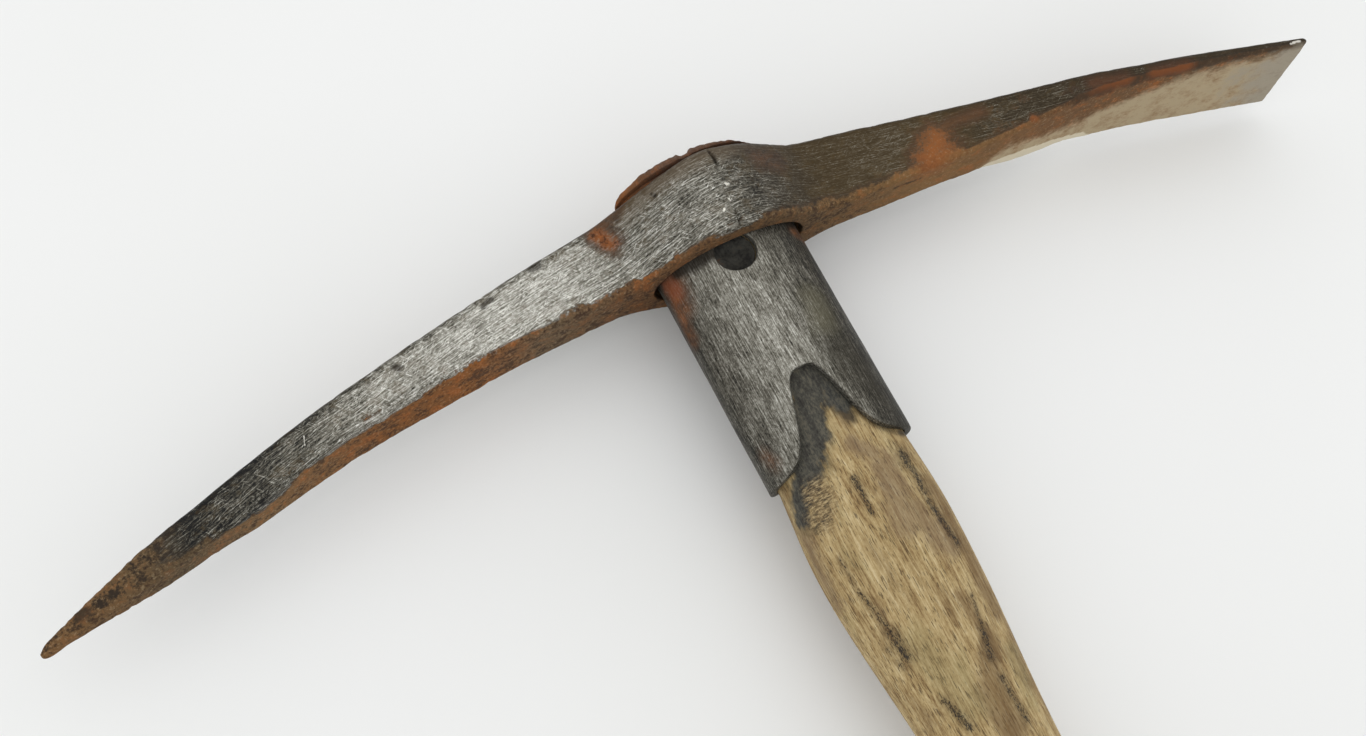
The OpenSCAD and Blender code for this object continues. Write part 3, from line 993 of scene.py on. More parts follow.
# Dirt and painted shade in a band round the sleeve where it goes into the eye, under the head
dirt_and_shade_strokes = [
    ((-25.5, -0.5, 12.5), (-20, -1, 16.3), 2.6),
    ((-20, -1, 16.3), (-9, -0.5, 20.4), 3.4),
    ((-9, 0.5, 20.4), (26, 0.5, 11.6), 2.4),
    ((-28, 0.5, -9), (28, 0.5, -9), 2.4),
]
dirt_and_shade_mask = share(tree, marks(tree, place, blotch, 0.8, 0.5, dirt_and_shade_strokes), 0.85)
steel_colour = tint(tree, dirt_and_shade_mask, steel_colour, eye_dirt_and_shade)
ferrule_rust = reckon(tree, "MAXIMUM", ferrule_rust, dirt_and_shade_mask)
tree.links.new(steel_colour, shader.inputs["Base Color"])
steel_sheen(tree, shader, ferrule_rust, brushed["Streak"], metal=0.85, dull=0.62, shiny=0.46)
ferrule_grit = share(tree, share(tree, rusted["Grit"], ferrule_rust), 3.0)
roughen(tree, shader, 0.35, 0.2, reckon(tree, "ADD", brushed["Streak"], ferrule_grit))
steel_ferrule.data.materials.clear()
steel_ferrule.data.materials.append(ferrule_steel)
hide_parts("ferrule")
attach(steel_ferrule, "helve")

# The rivet is a soft steel bar through ferrule and wood, just below the head. Both ends are headed in their
# holes and dished by the hammer, well below the steel round them, and are coloured near black.
rivet_dish = 1.6
rivet_edge = 0.5
rivet_bevel = 0.15
dish_rings = 10
hammer_margin = 1
dish_lumps = (3.2, 3.2, 9)
dish_uneven = 0.22
rivet_black = paint(28, 27, 24)
rivet_worn = paint(70, 69, 63)

rivet_profile = []
for i in range(1, dish_rings + 1):
    radius = (rivet_radius - rivet_edge) * i / dish_rings
    rivet_profile.append((radius, rivet_face_z - rivet_dish * (1 - (radius / rivet_radius) ** 2)))
rivet_profile.append((rivet_radius - rivet_bevel, rivet_face_z - rivet_bevel))
rivet_profile.append((rivet_radius, rivet_face_z - rivet_edge))
rivet_profile.append((rivet_radius, rivet_face_z - rivet_head_thick))
rivet_profile.append((rivet_shank, rivet_face_z - rivet_head_thick))
rivet_profile += [(radius, -z) for radius, z in reversed(rivet_profile)]
dished_rivet = turned("dished_rivet", rivet_profile, rivet_centre)
for vertex in dished_rivet.data.vertices:
    spot = vertex.co / mm
    on_face = abs(spot.z) > seat_z + hammer_margin
    if on_face and (spot - rivet_centre).xy.length < rivet_radius - hammer_margin:
        vertex.co.z += math.copysign(dish_uneven * mm, spot.z) * lumps(spot, dish_lumps)
smooth_skin(dished_rivet, 40)

rivet_steel, tree, shader = new_finish("rivet_steel")
place = put(tree, "TexCoord").outputs["Object"]
rusted = put(tree, "Group", {"Place": place}, node_tree=rust_effect).outputs
rivet_colour = ramp(tree, rusted["Tone"], ((0.42, rivet_black), (0.56, rivet_worn), (0.7, rust_brown)))
tree.links.new(rivet_colour, shader.inputs["Base Color"])
tree.links.new(spread(tree, rusted["Tone"], 0.4, 0.65, 0.5, 0.75), shader.inputs["Roughness"])
shader.inputs["Metallic"].default_value = 0.6
roughen(tree, shader, 0.4, 0.3, rusted["Grit"])
dished_rivet.data.materials.append(rivet_steel)
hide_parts("ferrule_rivet")
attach(dished_rivet, "helve")

# The head is one steel forging: a long square point, an eye between two swollen cheeks, and an arm that
# flattens to a broad chisel. It is dropped over the butt and jams on the ferrule's flare. The point is
# ground bright, its underside and tip are rusty, and the chisel is dark above and clay-grey below.
point_x = from_eye(head_low).x
chisel_x = from_eye(head_high).x
cheek_half = from_eye(head_high).z
neck_x = 46
cheek_run = 50
point_drop = 65.5
point_bend = 1.42
tip_relief = 4.5
tip_taper = 60
chisel_drop = 51
chisel_bend = 1.45


def crown(x):
    """Height of the head's back at a place along it."""
    if x < 0:
        near_tip = max(0, 1 - (x - point_x) / tip_taper)
        return eye_depth - point_drop * (x / point_x) ** point_bend - tip_relief * near_tip ** 2
    return eye_depth - chisel_drop * (x / chisel_x) ** chisel_bend


# Stations along each arm: distance from the eye, depth and thickness
neck_thick = 24
point_arm = [
    (neck_x, crown(-neck_x), neck_thick),
    (165, 16.5, 25.5),
    (-point_x - tip_taper, 14.5, 15),
    (-point_x, 3.5, 3.5),
]
chisel_arm = [
    (neck_x, crown(neck_x), neck_thick),
    (100, 24.2, 23),
    (128, 19.2, 27),
    (chisel_x - 86, 8.2, 40.5),
    (chisel_x, 3, 47),
]
tip_round = 5.0
edge_blunt = 1.6
edge_corner = 0.8
corner_round = 2.3
corner_wander = 0.5
corner_lumps = (17, 1, 1)
cheek_round = 1.2
# A corner's round is at most these shares of the depth and of the half thickness
most_of_depth = 0.4
most_of_half = 0.8


def head_section(x):
    """Top, depth, half thickness and corner round of the head at a place along it."""
    arm = point_arm if x < 0 else chisel_arm
    on_neck = abs(x) <= neck_x
    depth = crown(x) if on_neck else along_curve(arm, 1, abs(x))
    thick = neck_thick if on_neck else along_curve(arm, 2, abs(x))
    swell = (1 - min(1, abs(x / cheek_run)) ** 2) ** 2
    half = thick / 2 + (cheek_half - thick / 2) * swell
    top = crown(x)
    round_off = corner_round + corner_wander * lumps((x, 0, 0), corner_lumps) + cheek_round * swell
    tip_run = (point_x + tip_round - x) / tip_round
    if tip_run > 0:
        shrink = math.sqrt(max(0, 1 - tip_run ** 2))
        top -= depth * (1 - shrink) / 2
        depth *= shrink
        half *= shrink
    edge_run = (x - chisel_x + edge_blunt) / edge_blunt
    if edge_run > 0:
        shrink = math.sqrt(max(0, 1 - edge_run ** 2))
        top -= depth * (1 - shrink) / 2
        depth *= shrink
        half -= edge_corner * (1 - shrink)
    return top, depth, half, max(0, min(round_off, most_of_depth * depth, most_of_half * half))


eye_end_gap = 2.5
eye_side_gap = 0.9
seat_gap = 0.3
eye_round = 0.6
eye_top = [size + seat_gap for size in ferrule_stations[1][1:]]
eye_bottom = [ferrule_stations[0][1] + eye_end_gap, ferrule_stations[0][2] + eye_side_gap]
eye_open = eye_top[0] + eye_round

face_steps = 10
corner_steps = 4
side_steps = 24
wall_steps = 16
mouth_turns_deg = (0, 30, 60, 90)
eye_turns = 150
arm_step = 1.5
rounding = 1e-6
least_share = 1e-3


def in_eye(x):
    """Whether a row of the head crosses its eye."""
    return abs(x) < eye_open + rounding


point_rows = steps(point_x + tip_round, -eye_open, arm_step)
tip_rows = [point_x + off for off in rounded_rows(tip_round, (90, 78, 66, 54, 42, 30, 15))]
eye_rows = [-eye_open * math.cos(math.pi * i / eye_turns) for i in range(eye_turns + 1)]
chisel_rows = steps(eye_open, chisel_x - edge_blunt, arm_step)[1:]
edge_rows = [chisel_x - off for off in rounded_rows(edge_blunt, (0, 20, 40, 60, 75, 90))]

head_points = []
head_edge = []
head_inside = []
head_index = {}
head_faces = []


def head_point(point, edge, inside):
    """The number of a point of the head; points that meet are one."""
    key = tuple(round(part, 4) for part in point)
    if key not in head_index:
        head_index[key] = len(head_points)
        head_points.append(Vector(point))
        head_edge.append(edge)
        head_inside.append(inside)
    return head_index[key]


def head_patch(rows):
    """Faces over a grid of point numbers; a face that closes up on itself is left out."""
    for row, after in zip(rows, rows[1:]):
        for i in range(len(row) - 1):
            corners = []
            for number in (row[i], row[i + 1], after[i + 1], after[i]):
                if number not in corners:
                    corners.append(number)
            if len(corners) > 2:
                head_faces.append(corners)


edge_reach = 1.6
# Where the point's near lower corner is ground over: the middle, half the run and the depth
ground_places = [(-208, 22, 2.6), (-138, 16, 1.8)]
# The worn facet on the blade's far lower corner: its middle, half its run, and what it adds to the corner
facet_x = 146
facet_run = 32
facet_rise = -1.3
facet_wide = 4.6


def near_edge(off_edge):
    """How close a spot is to an edge, from 0 far off to 1 on it."""
    return math.exp(-(off_edge / edge_reach) ** 2)


def hump(x, centre, run):
    """A rounded rise to 1 at a centre, gone a run to either side of it."""
    return max(0, 1 - ((x - centre) / run) ** 2)


def lower_corner(x, side, round_off):
    """Rise and width of a lower corner, and how flat it is."""
    ground = sum(cut * hump(x, middle, run) for middle, run, cut in ground_places) if side > 0 else 0
    facet = hump(x, facet_x, facet_run) if side < 0 else 0
    return round_off + ground + facet_rise * facet, round_off + ground + facet_wide * facet, facet


def half_ring(x, side, eye_share):
    """Half of a section, from the middle of the back round one side to the middle of the underside."""
    top, depth, half, round_off = head_section(x)
    top_open = [x, (eye_top[1] + eye_round) * eye_share]
    low_open = [x, (eye_bottom[1] + eye_round) * eye_share]
    if in_eye(x):
        low_open[0] = x * (eye_bottom[0] + eye_round) / eye_open
    ring = []
    flat = half - round_off
    for i in range(face_steps):
        k = i / face_steps
        z = top_open[1] + (flat - top_open[1]) * k
        ring.append(((top_open[0] + (x - top_open[0]) * k, top, side * z), near_edge(flat - z), 0))
    for i in range(corner_steps):
        turn = math.radians(90 * i / corner_steps)
        spot = (x, top - round_off * (1 - math.cos(turn)), side * (flat + round_off * math.sin(turn)))
        ring.append((spot, 1, 0))
    low_rise, low_wide, flatness = lower_corner(x, side, round_off)
    side_run = depth - round_off - low_rise
    for i in range(side_steps + 1):
        down = side_run * i / side_steps
        ring.append(((x, top - round_off - down, side * half), near_edge(min(down, side_run - down)), 0))
    low_flat = half - low_wide
    for i in range(1, corner_steps + 1):
        k = i / corner_steps
        turn = math.radians(90 * k)
        rise_off = 1 - (math.sin(turn) * (1 - flatness) + k * flatness)
        wide_off = math.cos(turn) * (1 - flatness) + (1 - k) * flatness
        ring.append(((x, top - depth + low_rise * rise_off, side * (low_flat + low_wide * wide_off)), 1, 0))
    for i in range(1, face_steps + 1):
        k = i / face_steps
        z = low_flat + (low_open[1] - low_flat) * k
        ring.append(((x + (low_open[0] - x) * k, top - depth, side * z), near_edge(low_flat - z), 0))
    return ring


def eye_wall(x, side, eye_share):
    """The wall of the eye at one row, from the rounded upper mouth to the rounded lower one."""
    bends = [math.radians(turn) for turn in mouth_turns_deg]
    rim = [(eye_round * (1 - math.sin(bend)), eye_round * (1 - math.cos(bend))) for bend in bends]
    wall = [(eye_top[0] + out, eye_depth - into, eye_top[1] + out) for out, into in rim]
    for i in range(1, wall_steps):
        k = i / wall_steps
        half_x = eye_top[0] + (eye_bottom[0] - eye_top[0]) * k
        half_z = eye_top[1] + (eye_bottom[1] - eye_top[1]) * k
        wall.append((half_x, (eye_depth - eye_round) * (1 - k) + eye_round * k, half_z))
    wall += [(eye_bottom[0] + out, into, eye_bottom[1] + out) for out, into in reversed(rim)]
    # The first spot lies on the head's back, and no spot stands above it
    top = crown(x)
    wall[0] = (wall[0][0], top, wall[0][2])
    along = x / eye_open
    return [((half_x * along, min(y, top), side * half_z * eye_share), 0, 1) for half_x, y, half_z in wall]


for side in (1, -1):
    outer = []
    walls = []
    for x in tip_rows + point_rows + eye_rows + chisel_rows + edge_rows:
        eye_share = math.sqrt(max(0, 1 - (x / eye_open) ** 2))
        if eye_share < least_share:
            eye_share = 0
        outer.append([head_point(*spot) for spot in half_ring(x, side, eye_share)])
        if in_eye(x):
            walls.append([head_point(*spot) for spot in eye_wall(x, side, eye_share)])
    head_patch(outer)
    head_patch(walls)
forged_head = new_piece("forged_head", head_points, head_faces)

# Cracks in the near cheek: both ends, half width and depth
cracks = [
    ((2.6, 34.4, 31.9), (3.8, 30.5, 32.8), 0.9, 1.6),
    ((3.8, 30.5, 32.8), (3.3, 27, 32.9), 0.9, 1.6),
    ((0.6, 6, 33), (0.1, 2.6, 32.9), 0.9, 1.4),
    ((0.1, 2.6, 32.9), (0.0, -0.8, 30.9), 0.9, 1.4),
]
pit_place = (-23, 28.4, 25)
pit_radius = 1.6
pit_depth = 1.0
nick_lumps = (5, 5, 5)
chip_lumps = (1.9, 1.9, 1.9)
edge_chip_share = 0.5
nick_level = 0.25
nick_depth = 0.55
forge_lumps = (30, 16, 16)
forge_depth = 0.4
hammer_lumps = (7, 6, 6)
hammer_depth = 0.13
crust_lumps = (2.2, 2.0, 2.0)
crust_depth = 0.16
tip_crust_x = -225
tip_crust_run = 20
tip_crust = 2


def worn_steel(spot, facing, edge):
    """How far the forged skin stands out here: hammer marks, rust crust, nicked edges, cracks and a pit."""
    lift = forge_depth * lumps(spot, forge_lumps) + hammer_depth * lumps(spot, hammer_lumps)
    under = max(0, -facing.y)
    tip = max(0, min(1, (tip_crust_x - spot.x) / tip_crust_run))
    lift += crust_depth * max(under, tip_crust * tip) * lumps(spot, crust_lumps)
    nick = lumps(spot, nick_lumps) + edge_chip_share * lumps(spot, chip_lumps)
    lift -= edge * nick_depth * max(0, nick - nick_level)
    for start, end, width, depth in cracks:
        far = reach(spot, start, end) / width
        if far < 1:
            lift -= depth * (1 - far * far)
    off_pit = (spot - Vector(pit_place)).length / pit_radius
    if off_pit < 1:
        lift -= pit_depth * (1 - off_pit * off_pit)
    return lift


# The arms are rolled a little: along each, how far its far side hangs below the near one
point_hang = [
    (40, 0),
    (60, 0.3),
    (98, 1.4),
    (125, 2.5),
    (165, 1.7),
    (205, 2.0),
    (222, 1.1),
    (262, 1.4),
    (-point_x, 1.0),
]
chisel_hang = [(100, 0), (128, 1.0), (150, 2.4), (182, 2.4), (chisel_x, 1.9)]
blade_longer = 2.0

# The skin stays plain in the eye and round its mouths
plain_half_x = eye_open + 2
plain_half_z = eye_top[1] + eye_round + 1
# Three layers for the finish: the flow along, down and in from the back's edge, the way a spot faces, and its
# wear, which is how near an edge it is, whether it is in the eye, and how far above the underside
flow = []
facing_way = []
wear = []
normals = [vertex.normal.copy() for vertex in forged_head.data.vertices]
for i, vertex in enumerate(forged_head.data.vertices):
    spot = head_points[i]
    by_mouth = (spot.x / plain_half_x) ** 2 + (spot.z / plain_half_z) ** 2 < 1
    if not head_inside[i] and not by_mouth:
        vertex.co += normals[i] * worn_steel(spot, normals[i], head_edge[i]) * mm
    top, depth, half = head_section(spot.x)[:3]
    arm_hang = point_hang if spot.x < 0 else chisel_hang
    if abs(spot.x) > arm_hang[0][0]:
        far_share = (half - spot.z) / max(2 * half, 1)
        vertex.co.y -= along_curve(arm_hang, 1, abs(spot.x)) * far_share * mm
    blade_run = max(0, spot.x - chisel_hang[0][0]) / (chisel_x - chisel_hang[0][0])
    vertex.co.x += blade_longer * blade_run * mm
    flow += [spot.x * mm, (top - spot.y) * mm, (abs(spot.z) - half) * mm]
    facing_way += list(normals[i])
    wear += [head_edge[i], head_inside[i], (spot.y - top + depth) * mm]
for name, values in (("flow", flow), ("facing", facing_way), ("wear", wear)):
    layer = forged_head.data.attributes.new(name, "FLOAT_VECTOR", "POINT")
    layer.data.foreach_set("vector", values)
smooth_skin(forged_head, 45)

bright_speck_and_glint = paint(235, 232, 222)
fringe_dark = paint(44, 38, 32)
# Along the head, in millimetres from the eye: how bright the steel is, ground bright, with a painted
# highlight on the point's near face
polish_and_highlight_stops = (
    (-285, 0.14),
    (-245, 0.07),
    (-228, 0.08),
    (-208, 0.18),
    (-180, 0.32),
    (-165, 0.47),
    (-150, 0.55),
    (-125, 0.61),
    (-105, 0.68),
    (-70, 0.66),
    (-45, 0.48),
    (-25, 0.43),
    (-3, 0.42),
    (8, 0.26),
    (40, 0.09),
    (85, 0.23),
    (108, 0.13),
    (120, 0.07),
    (160, 0.07),
    (268, 0.09),
)
# The colour of the rust below it
rust_stops = (
    (-285, paint(112, 84, 54)),
    (-235, paint(88, 74, 54)),
    (-200, paint(118, 92, 62)),
    (-150, paint(114, 76, 42)),
    (-112, paint(126, 82, 44)),
    (-80, paint(104, 87, 66)),
    (-40, paint(100, 72, 47)),
    (30, paint(92, 73, 50)),
    (95, paint(126, 95, 59)),
    (150, paint(110, 80, 52)),
    (268, paint(96, 76, 54)),
)
# How much of it is bright orange
orange_stops = (
    (-285, 0.3),
    (-240, 0.15),
    (-215, 0.45),
    (-180, 0.6),
    (-125, 0.7),
    (-95, 0.75),
    (-78, 0.3),
    (-52, 0.4),
    (-42, 0.65),
    (-28, 0.3),
    (0, 0.22),
    (45, 0.3),
    (92, 0.5),
    (112, 0.5),
    (135, 0.4),
    (160, 0.7),
    (235, 0.75),
    (268, 0.5),
)
# How high rust creeps up the near side, and all along the far one
creep_stops = (
    (-285, 4.0),
    (-245, 3.0),
    (-225, 0.6),
    (-110, 0.6),
    (-80, 1.6),
    (-55, 2.6),
    (-42, 3.6),
    (-30, 2.2),
    (-18, 1.8),
    (15, 1.6),
    (40, 4.0),
    (75, 3.0),
    (98, 6.0),
    (106, 4.5),
    (114, 2.0),
    (130, 1.5),
    (268, 1.0),
)
far_creep = 5
# Down to which Z the ground steel reaches over the underside, and on the blade the black scale
wrap_stops = (
    (-250, 30),
    (-242, 8),
    (-226, 7),
    (-205, 2),
    (-196, 3),
    (-187, 9.5),
    (-178, 8.5),
    (-159, 8.5),
    (-146, 7),
    (-131, 10),
    (-121, 11),
    (-100, 12.5),
    (-88, 30),
    (268, 30),
)
black_stops = (
    (120, 30),
    (134, 17),
    (160, 15),
    (185, 16),
    (210, 17),
    (235, 19),
    (268, 21),
)
# Up to which Z the clay reaches on the blade's underside, and the worn facet
clay_stops = (
    (112, -30),
    (120, -10),
    (130, 0),
    (165, -3),
    (185, 1),
    (197, 5.5),
    (210, 11),
    (224, 14.5),
    (247, 17),
    (268, 21),
)
facet_stops = ((116, -30), (124, -7), (146, -7.5), (176, -14), (192, -30))
rust_red = paint(134, 76, 40)
rust_bright = paint(154, 94, 45)
clay_tan = paint(170, 154, 125)
clay_brown = paint(140, 114, 84)
clay_pale_and_sheen = paint(212, 202, 178)
worn_blue = paint(138, 140, 138)
patina = paint(99, 87, 72)
scale_brown = paint(82, 67, 43)
border_reach = 40

head_steel, tree, shader = new_finish("head_steel")
place = put(tree, "TexCoord").outputs["Object"]
flow_way = put(tree, "Attribute", attribute_name="flow").outputs["Vector"]
facing_parts = split(tree, put(tree, "Attribute", attribute_name="facing").outputs["Vector"])
wear_parts = split(tree, put(tree, "Attribute", attribute_name="wear").outputs["Vector"])
flow_parts = split(tree, flow_way)
place_parts = split(tree, place)
brushed = put(tree, "Group", {"Flow": flow_way}, node_tree=brushed_effect).outputs
rusted = put(tree, "Group", {"Place": place}, node_tree=rust_effect).outputs
blotch = cloud(tree, place, (9, 9, 9), 5.0, 0.62)
fine_blotch = cloud(tree, place, (3.4, 2.4, 2.4), 5.0, 0.7)

head_run = chisel_x - point_x


def head_share(x):
    """A place along the head as a share of its length."""
    return (x - point_x) / head_run


head_place = reckon(
    tree, "DIVIDE", reckon(tree, "SUBTRACT", flow_parts["X"], point_x * mm), head_run * mm
)
loose_place = sway(tree, head_place, (blotch, 0.05))


def by_place(tree, stops):
    """A length in millimetres that changes along the head, on a curve through stops."""
    curve = [(head_share(x), tone((length + border_reach) / (2 * border_reach))) for x, length in stops]
    level = ramp(tree, head_place, curve)
    return reckon(tree, "MULTIPLY", reckon(tree, "SUBTRACT", level, 0.5), 2 * border_reach * mm)


def over_border(tree, length, border, soft, *swings):
    """A mask of where a length on the surface passes a border that noises swing, in millimetres."""
    past_it = reckon(tree, "SUBTRACT", length, border)
    past_it = sway(tree, past_it, *[(noisy, weight * mm) for noisy, weight in swings])
    return spread(tree, past_it, -soft * mm, soft * mm)


# Steel, ground bright along the point, with a painted highlight on its near face, and dark with scale along
# the chisel
polish_and_highlight = ramp(tree, loose_place, [(head_share(x), tone(level)) for x, level in polish_and_highlight_stops])
crown_dark = spread(tree, flow_parts["Y"], 5 * mm, 0.3 * mm, 0.0, 0.42)
crown_dark = share(tree, crown_dark, spread(tree, fine_blotch, 0.38, 0.58, 0.2, 1.0))
polish_and_highlight = reckon(tree, "SUBTRACT", polish_and_highlight, crown_dark)
steel_colour = brushed_colour(tree, polish_and_highlight, blotch, brushed, streak=1.1, grain=1.0, pits=0.2, scratch=0.36)
brown_run = spread(tree, loose_place, head_share(0), head_share(50), 0.0, 0.6)
brown_end = spread(tree, loose_place, head_share(100), head_share(135), 1.0, 0.62)
steel_colour = tint(tree, share(tree, brown_run, brown_end), steel_colour, scale_brown)
crown_patina = spread(tree, sway(tree, flow_parts["Y"], (blotch, 14 * mm)), 12 * mm, 2 * mm, 0.0, 0.75)
cheek_run_share = spread(tree, loose_place, head_share(-52), head_share(-40))
cheek_end_share = spread(tree, loose_place, head_share(30), head_share(4))
crown_patina = share(tree, crown_patina, share(tree, cheek_run_share, cheek_end_share))
steel_colour = tint(tree, crown_patina, steel_colour, patina)
brown_film = spread(tree, sway(tree, fine_blotch, (blotch, 0.9)), 0.5, 0.68, 0.0, 0.35)
steel_colour = tint(tree, brown_film, steel_colour, scale_brown)

# Rust: over the underside, creeping up the sides, on the back, at the tip and in patches
under = spread(tree, facing_parts["Y"], -0.15, -0.55)
wrap = over_border(tree, place_parts["Z"], by_place(tree, wrap_stops), 0.8, (blotch, 9), (fine_blotch, 7))
near_side = spread(tree, place_parts["Z"], -2 * mm, 2 * mm)
creep = tint(tree, near_side, tone(far_creep * mm), by_place(tree, creep_stops))
climb = over_border(tree, creep, wear_parts["Z"], 0.8, (blotch, 9), (fine_blotch, 7))
soft_climb = over_border(tree, creep, wear_parts["Z"], 2.6, (blotch, 7), (fine_blotch, 5))
climb = tint(tree, spread(tree, loose_place, head_share(0), head_share(30)), climb, soft_climb)
low_rust = tint(tree, under, climb, reckon(tree, "SUBTRACT", 1.0, wrap))
back_rust = spread(tree, sway(tree, facing_parts["Y"], (fine_blotch, 0.4)), 0.86, 1.0)
ragged_place = sway(tree, loose_place, (fine_blotch, 0.05))
tip_rust = spread(tree, ragged_place, head_share(-232), head_share(-246))
scale_run = spread(tree, loose_place, head_share(105), head_share(150))
scale_rust = share(tree, spread(tree, sway(tree, rusted["Tone"], (blotch, 0.5)), 0.54, 0.7), 0.4)
scale_rust = share(tree, scale_run, scale_rust)
head_rust_strokes = [
    ((-47, 27, 12), (-44, 21, 13), 4.5),
    ((94, 4, 12), (101, 9, 12), 8.0),
    ((142, 1.6, 14.6), (143, 1.2, 14.6), 1.6),
]
patch_rust = marks(tree, place, rusted["Tone"], 4.0, 0.85, head_rust_strokes)
faint_strokes = [
    ((22, 26, 25), (30, 24, 20), 5.0),
    ((-45, 29, 13), (-37, 34, 17), 4.0),
    ((103, 12, 12), (109, 14.5, 12), 3.0),
    ((109, 14.5, 12), (124, 13.5, 13), 3.0),
]
faint_rust = marks(tree, place, rusted["Tone"], 3.0, 0.9, faint_strokes)
patch_rust = reckon(tree, "MAXIMUM", patch_rust, share(tree, faint_rust, 0.6))
patch_core = marks(tree, place, rusted["Tone"], 3.0, 0.9, [((98, 6, 12), (102, 9, 12), 5.0)])
rust_share = patch_rust
for layer in (low_rust, back_rust, tip_rust, scale_rust, wear_parts["Y"]):
    rust_share = reckon(tree, "MAXIMUM", rust_share, layer)
rust_colour = ramp(tree, loose_place, [(head_share(x), colour) for x, colour in rust_stops])
warm = reckon(tree, "MAXIMUM", patch_rust, scale_rust)
rust_colour = tint(tree, share(tree, warm, 0.7), rust_colour, rust_red)
orange_share = ramp(tree, loose_place, [(head_share(x), tone(level)) for x, level in orange_stops])
rust_tone = sway(tree, rusted["Tone"], (fine_blotch, 0.5))
crusty = spread(tree, loose_place, head_share(85), head_share(50), 0.25, 1.0)
dark_spots = share(tree, crusty, spread(tree, rust_tone, 0.5, 0.4, 0.0, 0.75))
rust_colour = tint(tree, dark_spots, rust_colour, rust_dark)
orange_spots = share(tree, orange_share, spread(tree, rust_tone, 0.5, 0.64))
rust_colour = tint(tree, orange_spots, rust_colour, rust_orange)
rust_colour = tint(tree, spread(tree, rusted["Grit"], 0.54, 0.68, 0.0, 0.3), rust_colour, clay_tan)
dark_grit = share(tree, crusty, spread(tree, rusted["Grit"], 0.48, 0.36, 0.0, 0.5))
rust_colour = tint(tree, dark_grit, rust_colour, rust_dark)
rust_colour = tint(tree, share(tree, patch_core, 0.15), rust_colour, rust_bright)
black_border = by_place(tree, black_stops)
blade_black = over_border(tree, place_parts["Z"], black_border, 2.0, (blotch, 14), (fine_blotch, 10))
blade_black = share(tree, share(tree, blade_black, scale_run), 0.7)
rust_colour = tint(tree, blade_black, rust_colour, fringe_dark)
blade_strokes = [((172, 4, 19.4), (186, 0, 20.4), 3.6), ((200, -2.5, 21), (214, -6, 21), 3.2)]
blade_spots = share(tree, marks(tree, place, rusted["Tone"], 3.0, 0.9, blade_strokes), 0.6)
rust_share = reckon(tree, "MAXIMUM", rust_share, blade_spots)
rust_colour = tint(tree, blade_spots, rust_colour, rust_red)
tip_black = spread(tree, sway(tree, rusted["Tone"], (blotch, 0.4)), 0.53, 0.43, 0.0, 0.8)
tip_side = reckon(tree, "SUBTRACT", 1.0, under)
tip_black = share(tree, share(tree, tip_black, tip_side), tip_rust)
rust_colour = tint(tree, tip_black, rust_colour, fringe_dark)
steel_colour = tint(tree, rust_share, steel_colour, rust_colour)
fringe = share(tree, spread(tree, rust_share, 0.05, 0.4), spread(tree, rust_share, 0.9, 0.5))
steel_colour = tint(tree, share(tree, fringe, 0.5), steel_colour, fringe_dark)

# Clay on the blade's underside: brown towards the near edge, pale on the worn facet, bare by the edge. The
# facet's pale is partly clay, partly a painted sheen of its polished bevel
clay = over_border(tree, by_place(tree, clay_stops), place_parts["Z"], 5.0, (blotch, 12), (fine_blotch, 8))
clay = share(tree, clay, under)
clay_level = spread(tree, loose_place, head_share(140), head_share(205), 0.42, 0.52)
clay_tone = sway(tree, clay_level, (fine_blotch, 0.6), (blotch, 0.8), (rusted["Grit"], 0.5))
clay_colour = ramp(tree, clay_tone, ((0.25, clay_brown), (0.55, clay_tan)))
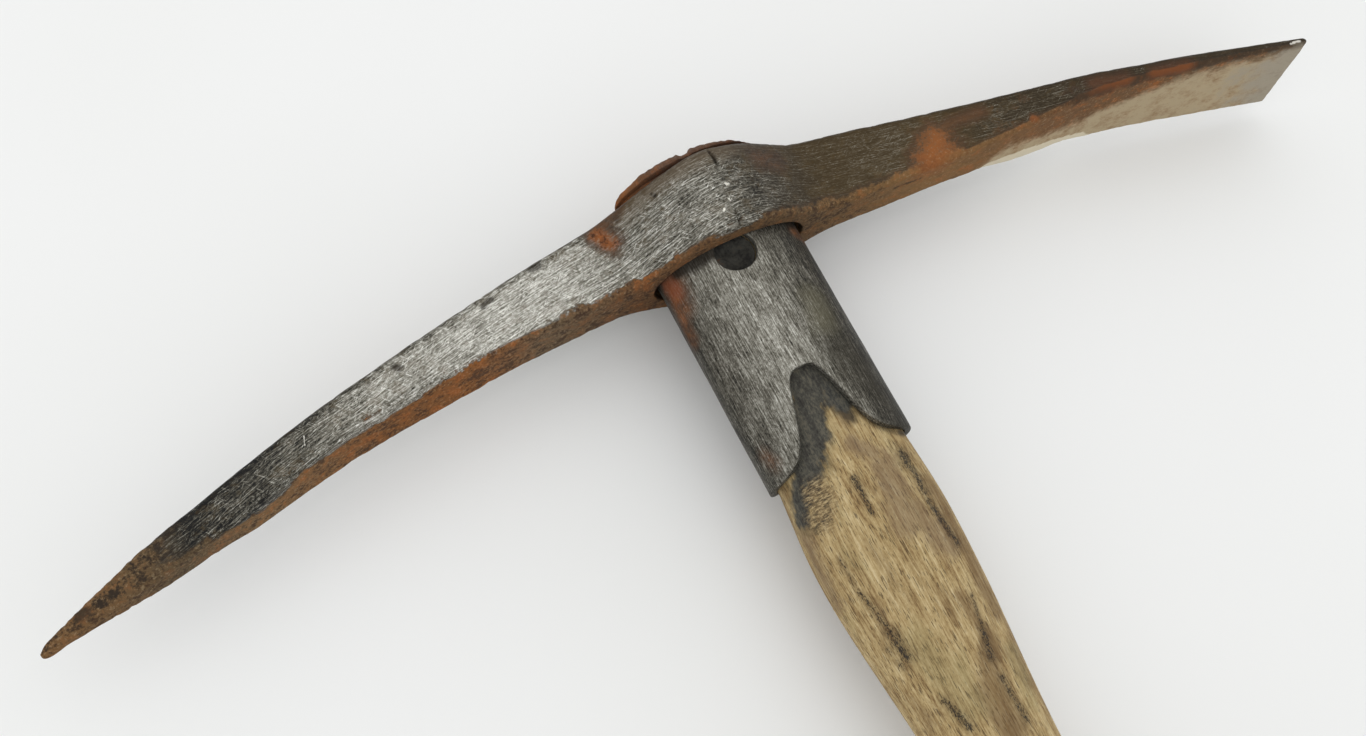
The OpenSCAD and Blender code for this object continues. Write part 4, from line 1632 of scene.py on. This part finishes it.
# The worn facet, painted pale: clay with a painted sheen of the polished bevel
facet = over_border(tree, by_place(tree, facet_stops), place_parts["Z"], 0.6, (fine_blotch, 4))
low_skin = reckon(tree, "MAXIMUM", under, spread(tree, wear_parts["Z"], 6 * mm, 4 * mm))
facet = share(tree, facet, low_skin)
clay_colour = tint(tree, share(tree, facet, 0.95), clay_colour, clay_pale_and_sheen)
blade_end = sway(tree, head_place, (blotch, 0.12))
blade_end = spread(tree, blade_end, head_share(236), head_share(262), 0.0, 0.45)
clay_colour = tint(tree, blade_end, clay_colour, worn_blue)
clay = reckon(tree, "MAXIMUM", clay, facet)
steel_colour = tint(tree, share(tree, clay, 0.95), steel_colour, clay_colour)
rust_share = reckon(tree, "MAXIMUM", rust_share, clay)

# Small marks: bright specks and a painted glint on the chisel's near corner, dark smudges, and dirt in the
# cracks and the pit
speck_and_glint_strokes = [
    ((2.4, 18.3, 32.8), (3.0, 17.8, 32.8), 0.6),
    ((0.5, 12.0, 33), (0.6, 11.2, 33), 0.35),
    ((-3.2, 9.0, 32.7), (-3.7, 8.2, 32.7), 0.35),
    ((-180.6, -3, 12.2), (-182.6, -9, 11.5), 0.22),
    # A painted glint on the chisel's curled near corner
    ((262.5, -15.4, 23.2), (266.4, -15.8, 23.2), 0.5),
]
smudge_strokes = [
    ((-139.8, 8.2, 12.7), (-138.6, 7.0, 12.7), 1.4),
    ((-76.5, 24.6, 12.1), (-74, 24.8, 12.1), 1.8),
    ((-100, 17.6, 12.3), (-96, 18.6, 12.3), 1.2),
    ((-275.6, -29.4, 3.3), (-273, -28.8, 3.5), 2.8),
    ((77, 0.8, 5), (89, 0.8, 4.4), 1.2),
]
crack_strokes = wider([crack[:3] for crack in cracks], 0.7)
crack_strokes.append(((-23.4, 28.8, 25), (-22.6, 28, 25), 0.8))
small_marks = [
    (speck_and_glint_strokes, rusted["Grit"], 4.0, 0.6, 0.75, bright_speck_and_glint),
    (smudge_strokes, fine_blotch, 3.0, 0.5, 0.75, fringe_dark),
    (crack_strokes, fine_blotch, 1.5, 0.5, 0.85, fringe_dark),
]
steel_colour = overlaid(tree, place, steel_colour, small_marks)

tree.links.new(steel_colour, shader.inputs["Base Color"])
steel_sheen(tree, shader, rust_share, brushed["Streak"], metal=0.9, dull=0.6, shiny=0.44)
head_grit = share(tree, share(tree, rusted["Grit"], rust_share), 2.5)
head_height = reckon(tree, "ADD", brushed["Streak"], head_grit)
roughen(tree, shader, 0.4, 0.2, reckon(tree, "SUBTRACT", head_height, brushed["Pits"]))
forged_head.data.materials.append(head_steel)
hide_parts("pick_head")
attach(forged_head, "head")
